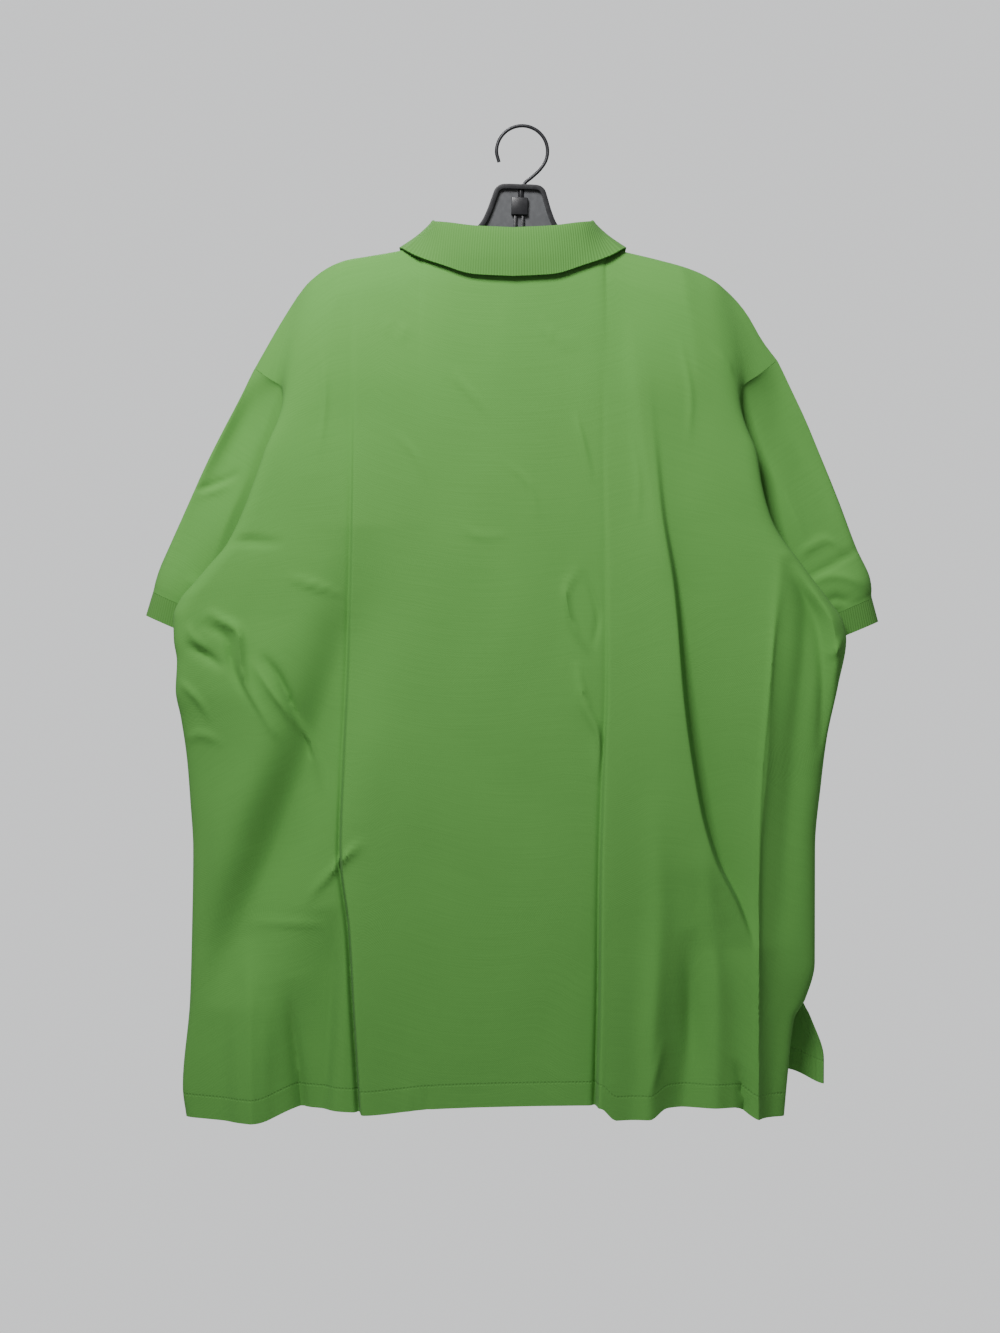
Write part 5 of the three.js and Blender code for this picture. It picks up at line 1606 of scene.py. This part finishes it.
@dataclass
class Buttons:
    """Round buttons with a raised rim, a dished middle and four holes."""

    radius: float = 5.5
    thickness: float = 2.4
    rim: float = 1.1
    hole: float = 0.75
    hole_offset: float = 1.25

    def build(self, name: str, place: Array, way: Array) -> bpy.types.Object:
        """Makes one button.

        Args:
            name: The piece's name.
            place: The middle of its back, in millimetres.
            way: Its outward way.

        Returns:
            The new object.
        """
        bpy.ops.mesh.primitive_cylinder_add(vertices=48, radius=self.radius * MM, depth=self.thickness * MM)
        button = bpy.context.object
        button.name = name
        bpy.ops.object.mode_set(mode="EDIT")
        bpy.ops.mesh.select_all(action="DESELECT")
        bpy.ops.object.mode_set(mode="OBJECT")
        for face in button.data.polygons:
            face.select = face.normal.z > 0.9
        bpy.ops.object.mode_set(mode="EDIT")
        bpy.ops.mesh.select_mode(type="FACE")
        bpy.ops.mesh.inset(thickness=self.rim * MM)
        bpy.ops.mesh.inset(thickness=0.5 * MM, depth=-0.5 * MM)
        bpy.ops.object.mode_set(mode="OBJECT")
        select_only(button)
        bpy.ops.object.modifier_add(type="BEVEL")
        bevel = button.modifiers[-1]
        bevel.width, bevel.segments, bevel.angle_limit = 0.3 * MM, 2, math.radians(30)
        bpy.ops.object.modifier_apply(modifier=bevel.name)
        for across in (-1, 1):
            for up in (-1, 1):
                self.drill(button, across * self.hole_offset, up * self.hole_offset)
        lift = place + way * (self.thickness / 2 + 0.4)
        turn = Vector((0, 0, 1)).rotation_difference(Vector(way)).to_matrix().to_4x4()
        button.data.transform(turn)
        button.data.transform(turn.Translation(Vector(lift * MM)))
        select_only(button)
        bpy.ops.object.shade_smooth_by_angle(angle=math.radians(35))
        return button

    def drill(self, button: bpy.types.Object, x: float, y: float) -> None:
        """Cuts one hole through the button."""
        bpy.ops.mesh.primitive_cylinder_add(
            vertices=16, radius=self.hole * MM, depth=4 * self.thickness * MM, location=(x * MM, y * MM, 0)
        )
        drill = bpy.context.object
        select_only(button)
        bpy.ops.object.modifier_add(type="BOOLEAN")
        cut = button.modifiers[-1]
        cut.operation, cut.object = "DIFFERENCE", drill
        bpy.ops.object.modifier_apply(modifier=cut.name)
        bpy.data.objects.remove(drill)


@dataclass
class Studio:
    """Camera, lights, floor and the even pale surroundings."""

    distance: float = 2.2
    aim_x: float = -0.0216
    aim_z: float = -0.528
    frame_height: float = 1.306
    floor_drop: float = 1.65
    floor_radius: float = 1.35
    near_tone: tuple[float, float, float] = (0.2, 0.2, 0.2)
    far_tone: tuple[float, float, float] = (0.93, 0.94, 0.95)

    def build(self) -> None:
        """Makes the studio."""
        self.camera()
        self.light("key", (-0.4, -1.0, 0.66), (0.0, 0.0, -0.35), 0.5, 33)
        self.light("front", (-0.5, 1.5, 0.9), (0.0, 0.0, -0.45), 0.7, 20)
        world = bpy.data.worlds.new("studio")
        world.use_nodes = True
        background = world.node_tree.nodes["Background"]
        background.inputs["Strength"].default_value = 1.0
        self.surroundings(world, background)
        bpy.context.scene.world = world
        self.floor()

    def surroundings(self, world: bpy.types.World, background: bpy.types.Node) -> None:
        """Gives the world its even tone, pale behind the shirt and dimmer on the camera's side."""
        nodes, links = world.node_tree.nodes, world.node_tree.links
        way = nodes.new("ShaderNodeTexCoord").outputs["Generated"]
        parts = nodes.new("ShaderNodeSeparateXYZ")
        ramp = nodes.new("ShaderNodeMapRange")
        ramp.inputs["From Min"].default_value = -0.1
        ramp.inputs["From Max"].default_value = 0.7
        tone = nodes.new("ShaderNodeMix")
        tone.data_type = "RGBA"
        tone.inputs[6].default_value = (*self.near_tone, 1)
        tone.inputs[7].default_value = (*self.far_tone, 1)
        links.new(way, parts.inputs[0])
        links.new(parts.outputs[1], ramp.inputs["Value"])
        links.new(ramp.outputs[0], tone.inputs["Factor"])
        links.new(tone.outputs[2], background.inputs["Color"])

    def camera(self) -> None:
        """Makes the camera that stands square to the shirt's back."""
        data = bpy.data.cameras.new("camera")
        data.lens = data.sensor_width * self.distance / self.frame_height
        camera = bpy.data.objects.new("camera", data)
        camera.location = (self.aim_x, -self.distance, self.aim_z)
        camera.rotation_euler = (math.radians(90), 0, 0)
        bpy.context.scene.collection.objects.link(camera)
        bpy.context.scene.camera = camera

    def light(
        self,
        name: str,
        place: tuple[float, float, float],
        aim: tuple[float, float, float],
        size: float,
        power: float,
    ) -> None:
        """Makes one soft light."""
        data = bpy.data.lights.new(name, "AREA")
        data.size, data.energy = size, power
        light = bpy.data.objects.new(name, data)
        light.location = place
        light.rotation_euler = (Vector(aim) - Vector(place)).to_track_quat("-Z", "Y").to_euler()
        bpy.context.scene.collection.objects.link(light)

    def floor(self) -> None:
        """Makes the plain pale floor."""
        bpy.ops.mesh.primitive_cylinder_add(
            vertices=96, radius=self.floor_radius, depth=0.02, location=(0, 0, -self.floor_drop)
        )
        floor = bpy.context.object
        floor.name = "floor"
        shader = Shader("floor")
        shader.set({"Roughness": 0.9})
        shader.surface.inputs["Base Color"].default_value = (0.55, 0.56, 0.56, 1)
        floor.data.materials.append(shader.material)


GREEN = (0.115, 0.323, 0.07)
RIB_GREEN = (0.098, 0.268, 0.059)
CLOTH_FINISH = {"Roughness": 0.92, "Sheen Weight": 0.03, "Sheen Roughness": 0.5, "Specular IOR Level": 0.08}
BLACK = (0.012, 0.012, 0.014)
# Lighter grey of the hanger's web: painted reflection of its glossy black plastic.
WEB_PAINTED_SHEEN = (0.075, 0.077, 0.082)
WIRE = (0.022, 0.022, 0.025)


@dataclass
class Shirt:
    """All cloth pieces of the shirt with its buttons."""

    knit: KnitFinish
    rib: RibFinish
    button: HardFinish

    def build(self) -> None:
        """Makes and dresses all pieces."""
        back = Panel(
            Face.BACK, BACK_FOLDS, BACK_CREASES, BACK_LEFT, BACK_RIGHT, BACK_HEM, bend_inset=17, fold_fade=30,
            inner=36, neck=130,
        )
        front = Panel(
            Face.FRONT,
            FRONT_FOLDS,
            FRONT_CREASES,
            front_edges(FRONT_LEFT, BACK_LEFT, FRONT_TAIL_LEFT),
            front_edges(FRONT_RIGHT, BACK_RIGHT, FRONT_TAIL_RIGHT),
            FRONT_HEM,
            bend_inset=34,
            fold_fade=60,
            tail_rows=18,
            inner=28,
            neck=100,
        )
        back_grid, rows = back.grid()
        back_grid = back.eased_shoulder(back_grid, rows)
        front_grid, front_rows = front.grid()
        front_grid = front.evened(front_grid, front_rows)
        knit = self.knit.material("shirt_knit", hemmed=True)
        plain = self.knit.material("sleeve_knit", hemmed=False)
        left, right = (
            Sleeve(
                Side.LEFT, (-368.5, 0, -478), (-215, 50, -545), (-0.46, 0, -0.89), 88,
                (-0.3, 0, -0.95), 62, 1, LEFT_SLEEVE_CREASES,
            ),
            Sleeve(
                Side.RIGHT, (349, 0, -484), (192, 50, -549), (0.46, 0, -0.89), 84,
                (0.27, 0, -0.96), 58, 4, RIGHT_SLEEVE_CREASES,
            ),
        )
        walls = {
            "body_back": Wall("body_back", back.creased(back_grid), ring=False, flip=1),
            "body_front": Wall("body_front", front.creased(front_grid), ring=False, flip=-1),
        }
        for sleeve, name in ((left, "left"), (right, "right")):
            tube, cuff = sleeve.grids(sleeve.ring(back_grid, front_grid, rows))
            flip = -sleeve.side.value
            walls[f"sleeve_{name}"] = Wall(f"sleeve_{name}_knit", sleeve.creased(tube), ring=True, flip=flip)
            walls[f"cuff_{name}"] = Wall(f"cuff_{name}_rib", cuff, ring=True, flip=flip)
        join_seams(list(walls.values()))
        self.panel(walls["body_back"], "back", rows, knit)
        self.panel(walls["body_front"], "front", front_rows, knit)
        for name in ("left", "right"):
            piece = walls[f"sleeve_{name}"].build(KNIT_WALL)
            self.dress(piece, f"sleeve_{name}", plain)
            band = walls[f"cuff_{name}"].build(RIB_WALL, even=True)
            ribbed = self.rib.material(f"cuff_{name}_rib", along_rows=False)
            self.dress(band, f"cuff_{name}", ribbed)
        collar = Wall("collar_rib", Collar().grid(), ring=False, flip=1).build(RIB_WALL, even=True)
        self.dress(collar, "collar", self.rib.material("collar_rib", along_rows=True))
        self.placket(front_grid, plain)

    def panel(
        self,
        wall: Wall,
        node: str,
        rows: list[Row],
        material: bpy.types.Material,
    ) -> None:
        """Makes one half of the body."""
        across, down = wall.lengths()
        to_hem = (down[-1] - down) / MM
        to_side = np.minimum(across - across[:, :1], across[:, -1:] - across) / MM
        open_rows = np.array([row.tail > 0 or row.level == VENT_TOP for row in rows])
        vent = np.where(open_rows[:, None], to_side, 60.0)
        piece = wall.build(KNIT_WALL, {"hem": to_hem, "vent": vent})
        self.dress(piece, node, material)

    def dress(self, piece: bpy.types.Object, node: str, material: bpy.types.Material) -> None:
        """Gives a piece its finish and its place in the frame, and hides the node it stands for."""
        piece.data.materials.append(material)
        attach(piece, "root")
        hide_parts(node)
        log.info("%s: %d faces", piece.name, len(piece.data.polygons))

    def placket(self, front: Array, material: bpy.types.Material) -> None:
        """Makes the placket bands and the buttons."""
        placket = Placket()
        over = placket.band(front, outside=True)
        under = placket.band(front, outside=False)
        for name, node, grid in (
            ("placket_over_band", "placket_over", over),
            ("placket_under_band", "placket_under", under),
        ):
            band = Wall(name, grid, ring=False, flip=-1).build(placket.wall)
            self.dress(band, node, material)
        finish = self.button.material("button")
        for (place, way), node in zip(placket.buttons(over), ("button_top", "button_low")):
            button = Buttons().build(f"{node}_disc", place, way)
            self.dress(button, node, finish)


@dataclass
class Hanger:
    """The moulded hanger: a rounded rim around a thin web, with a hub, twin ribs and a socket. The web's
    lighter grey is a painted reflection of its gloss.
    """

    plastic: HardFinish
    web_sheen_finish: HardFinish
    tilt: float = math.radians(1.8)
    rim: float = 4.6
    thickness: float = 11
    rounding: float = 1.9
    web: float = 2.6
    hub: tuple[float, float, float] = (16, 12, 17)
    hub_middle: float = -78
    rib: tuple[float, float, float] = (3.2, 8, 58)
    rib_offset: float = 3.6
    rib_middle: float = -114
    socket_radius: float = 3.1
    socket_height: float = 15
    socket_middle: float = -64

    def build(self) -> None:
        """Makes and dresses all of the hanger's pieces."""
        rim, web = self.frame_piece("hanger_rim", False), self.frame_piece("hanger_web", True)
        hub = self.block("hanger_hub", self.hub, (0, self.hub_middle))
        ribs = [
            self.block(f"hanger_rib_{name}", self.rib, (x, self.rib_middle))
            for name, x in (("left", -self.rib_offset), ("right", self.rib_offset))
        ]
        bpy.ops.mesh.primitive_cylinder_add(
            vertices=32,
            radius=self.socket_radius * MM,
            depth=self.socket_height * MM,
            location=(1 * MM, 0, self.socket_middle * MM),
        )
        socket = bpy.context.object
        socket.name = "hanger_socket"
        bpy.ops.object.transform_apply(location=True, rotation=True, scale=True)
        self.round_off(socket, 0.5)
        # The web's lighter grey finish is a painted reflection; the rim keeps the plain black.
        dark, pale = self.plastic.material("hanger_plastic"), self.web_sheen_finish.material("hanger_web_painted_sheen")
        for piece in (rim, web, hub, *ribs, socket):
            for vertex in piece.data.vertices:
                x, z = vertex.co.x, vertex.co.z
                vertex.co.x = x * math.cos(self.tilt) + z * math.sin(self.tilt)
                vertex.co.z = z * math.cos(self.tilt) - x * math.sin(self.tilt)
            piece.data.materials.append(pale if piece is web else dark)
            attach(piece, "root")
            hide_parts("hanger")
            log.info("%s: %d faces", piece.name, len(piece.data.polygons))

    def frame_piece(self, name: str, middle: bool) -> bpy.types.Object:
        """Makes the rim, or the web in the middle of it.

        Args:
            name: The piece's name.
            middle: Whether to keep the middle and not the border.

        Returns:
            The new object.
        """
        right = resample(np.array(HANGER_OUTLINE, float), 5)
        outline = np.vstack([right, right[::-1][1:-1] * [-1, 1]])
        bpy.ops.mesh.primitive_circle_add(vertices=len(outline), radius=0.1, fill_type="NGON")
        piece = bpy.context.object
        piece.name = name
        for vertex, (x, z) in zip(piece.data.vertices, outline):
            vertex.co = (x * MM, 0, z * MM)
        lap = 0.8 if middle else 0.0
        bpy.ops.object.mode_set(mode="EDIT")
        bpy.ops.mesh.select_all(action="SELECT")
        bpy.ops.mesh.inset(thickness=(self.rim - lap) * MM)
        if middle:
            bpy.ops.mesh.select_all(action="INVERT")
        bpy.ops.mesh.delete(type="FACE")
        bpy.ops.object.mode_set(mode="OBJECT")
        bpy.ops.object.modifier_add(type="SOLIDIFY")
        thicken = piece.modifiers[-1]
        thicken.thickness, thicken.offset = (self.web if middle else self.thickness) * MM, 0
        bpy.ops.object.modifier_apply(modifier=thicken.name)
        self.round_off(piece, 0.3 if middle else self.rounding)
        return piece

    def block(
        self, name: str, size: tuple[float, float, float], middle: tuple[float, float]
    ) -> bpy.types.Object:
        """Makes one rounded block at x and z."""
        bpy.ops.mesh.primitive_cube_add(size=1, location=(middle[0] * MM, 0, middle[1] * MM))
        piece = bpy.context.object
        piece.name = name
        piece.scale = tuple(side * MM for side in size)
        bpy.ops.object.transform_apply(location=True, rotation=True, scale=True)
        self.round_off(piece, 0.7)
        return piece

    def round_off(self, piece: bpy.types.Object, radius: float) -> None:
        """Rounds a piece's sharp edges and smooths it."""
        select_only(piece)
        bpy.ops.object.modifier_add(type="BEVEL")
        bevel = piece.modifiers[-1]
        bevel.width, bevel.segments, bevel.limit_method = radius * MM, 4, "ANGLE"
        bevel.angle_limit = math.radians(50)
        bpy.ops.object.modifier_apply(modifier=bevel.name)
        bpy.ops.object.shade_smooth_by_angle(angle=math.radians(40))


@dataclass
class Hook:
    """The wire hook: up out of the hub, slanted to the side, then round over the rail."""

    wire: HardFinish
    radius: float = 1.75
    bend: float = 25
    stem: tuple[tuple[float, float], ...] = ((1, -76), (1, -64), (2.4, -55), (9.6, -48.6))
    turns: tuple[int, int, int] = (-45, 206, 25)

    def build(self) -> None:
        """Makes and dresses the hook."""
        around = [math.radians(degrees) for degrees in range(*self.turns)]
        drop = self.radius - self.bend
        on_bend = [(self.bend * math.cos(angle), self.bend * math.sin(angle) + drop) for angle in around]
        line = resample(np.array([(x, 0, z) for x, z in (*self.stem, *on_bend)], float), 10)
        data = bpy.data.curves.new("hook_wire_line", "CURVE")
        data.dimensions = "3D"
        data.bevel_depth, data.bevel_resolution, data.use_fill_caps = self.radius * MM, 6, True
        spline = data.splines.new("POLY")
        spline.points.add(len(line) - 1)
        for point, place in zip(spline.points, line):
            point.co = (*(place * MM), 1)
        hook = bpy.data.objects.new("hook_wire", data)
        bpy.context.scene.collection.objects.link(hook)
        select_only(hook)
        bpy.ops.object.convert(target="MESH")
        hook = bpy.context.object
        bpy.ops.object.shade_smooth_by_angle(angle=math.radians(50))
        hook.data.materials.append(self.wire.material("hook_wire"))
        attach(hook, "root")
        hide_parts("hook")
        log.info("%s: %d faces", hook.name, len(hook.data.polygons))


def front_edges(armhole: Table, side: Table, tail: Table) -> Table:
    """Returns the front's edge: its armhole, the back's side seam down to the vent, then the free edge."""
    keep = [side.names.index(name) for name in armhole.names]
    between = side.values[(side.values[:, 0] < UNDERARM) & (side.values[:, 0] > VENT_TOP)][:, keep]
    return Table(" ".join(armhole.names), np.vstack([armhole.values[::-1], between[::-1], tail.values[::-1]]))


def main() -> None:
    """Builds the whole scene and reports each piece."""
    logging.basicConfig(level=logging.INFO, format="%(message)s")
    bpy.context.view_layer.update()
    select_only()
    Studio().build()
    Hanger(HardFinish(BLACK, 0.3, coat=0.3), HardFinish(WEB_PAINTED_SHEEN, 0.32, coat=0.4)).build()
    Hook(HardFinish(WIRE, 0.42, metallic=0.5)).build()
    Shirt(KnitFinish(GREEN), RibFinish(RIB_GREEN, 0.0024), HardFinish((0.25, 0.45, 0.16), 0.3)).build()


if __name__ == "__main__":
    main()
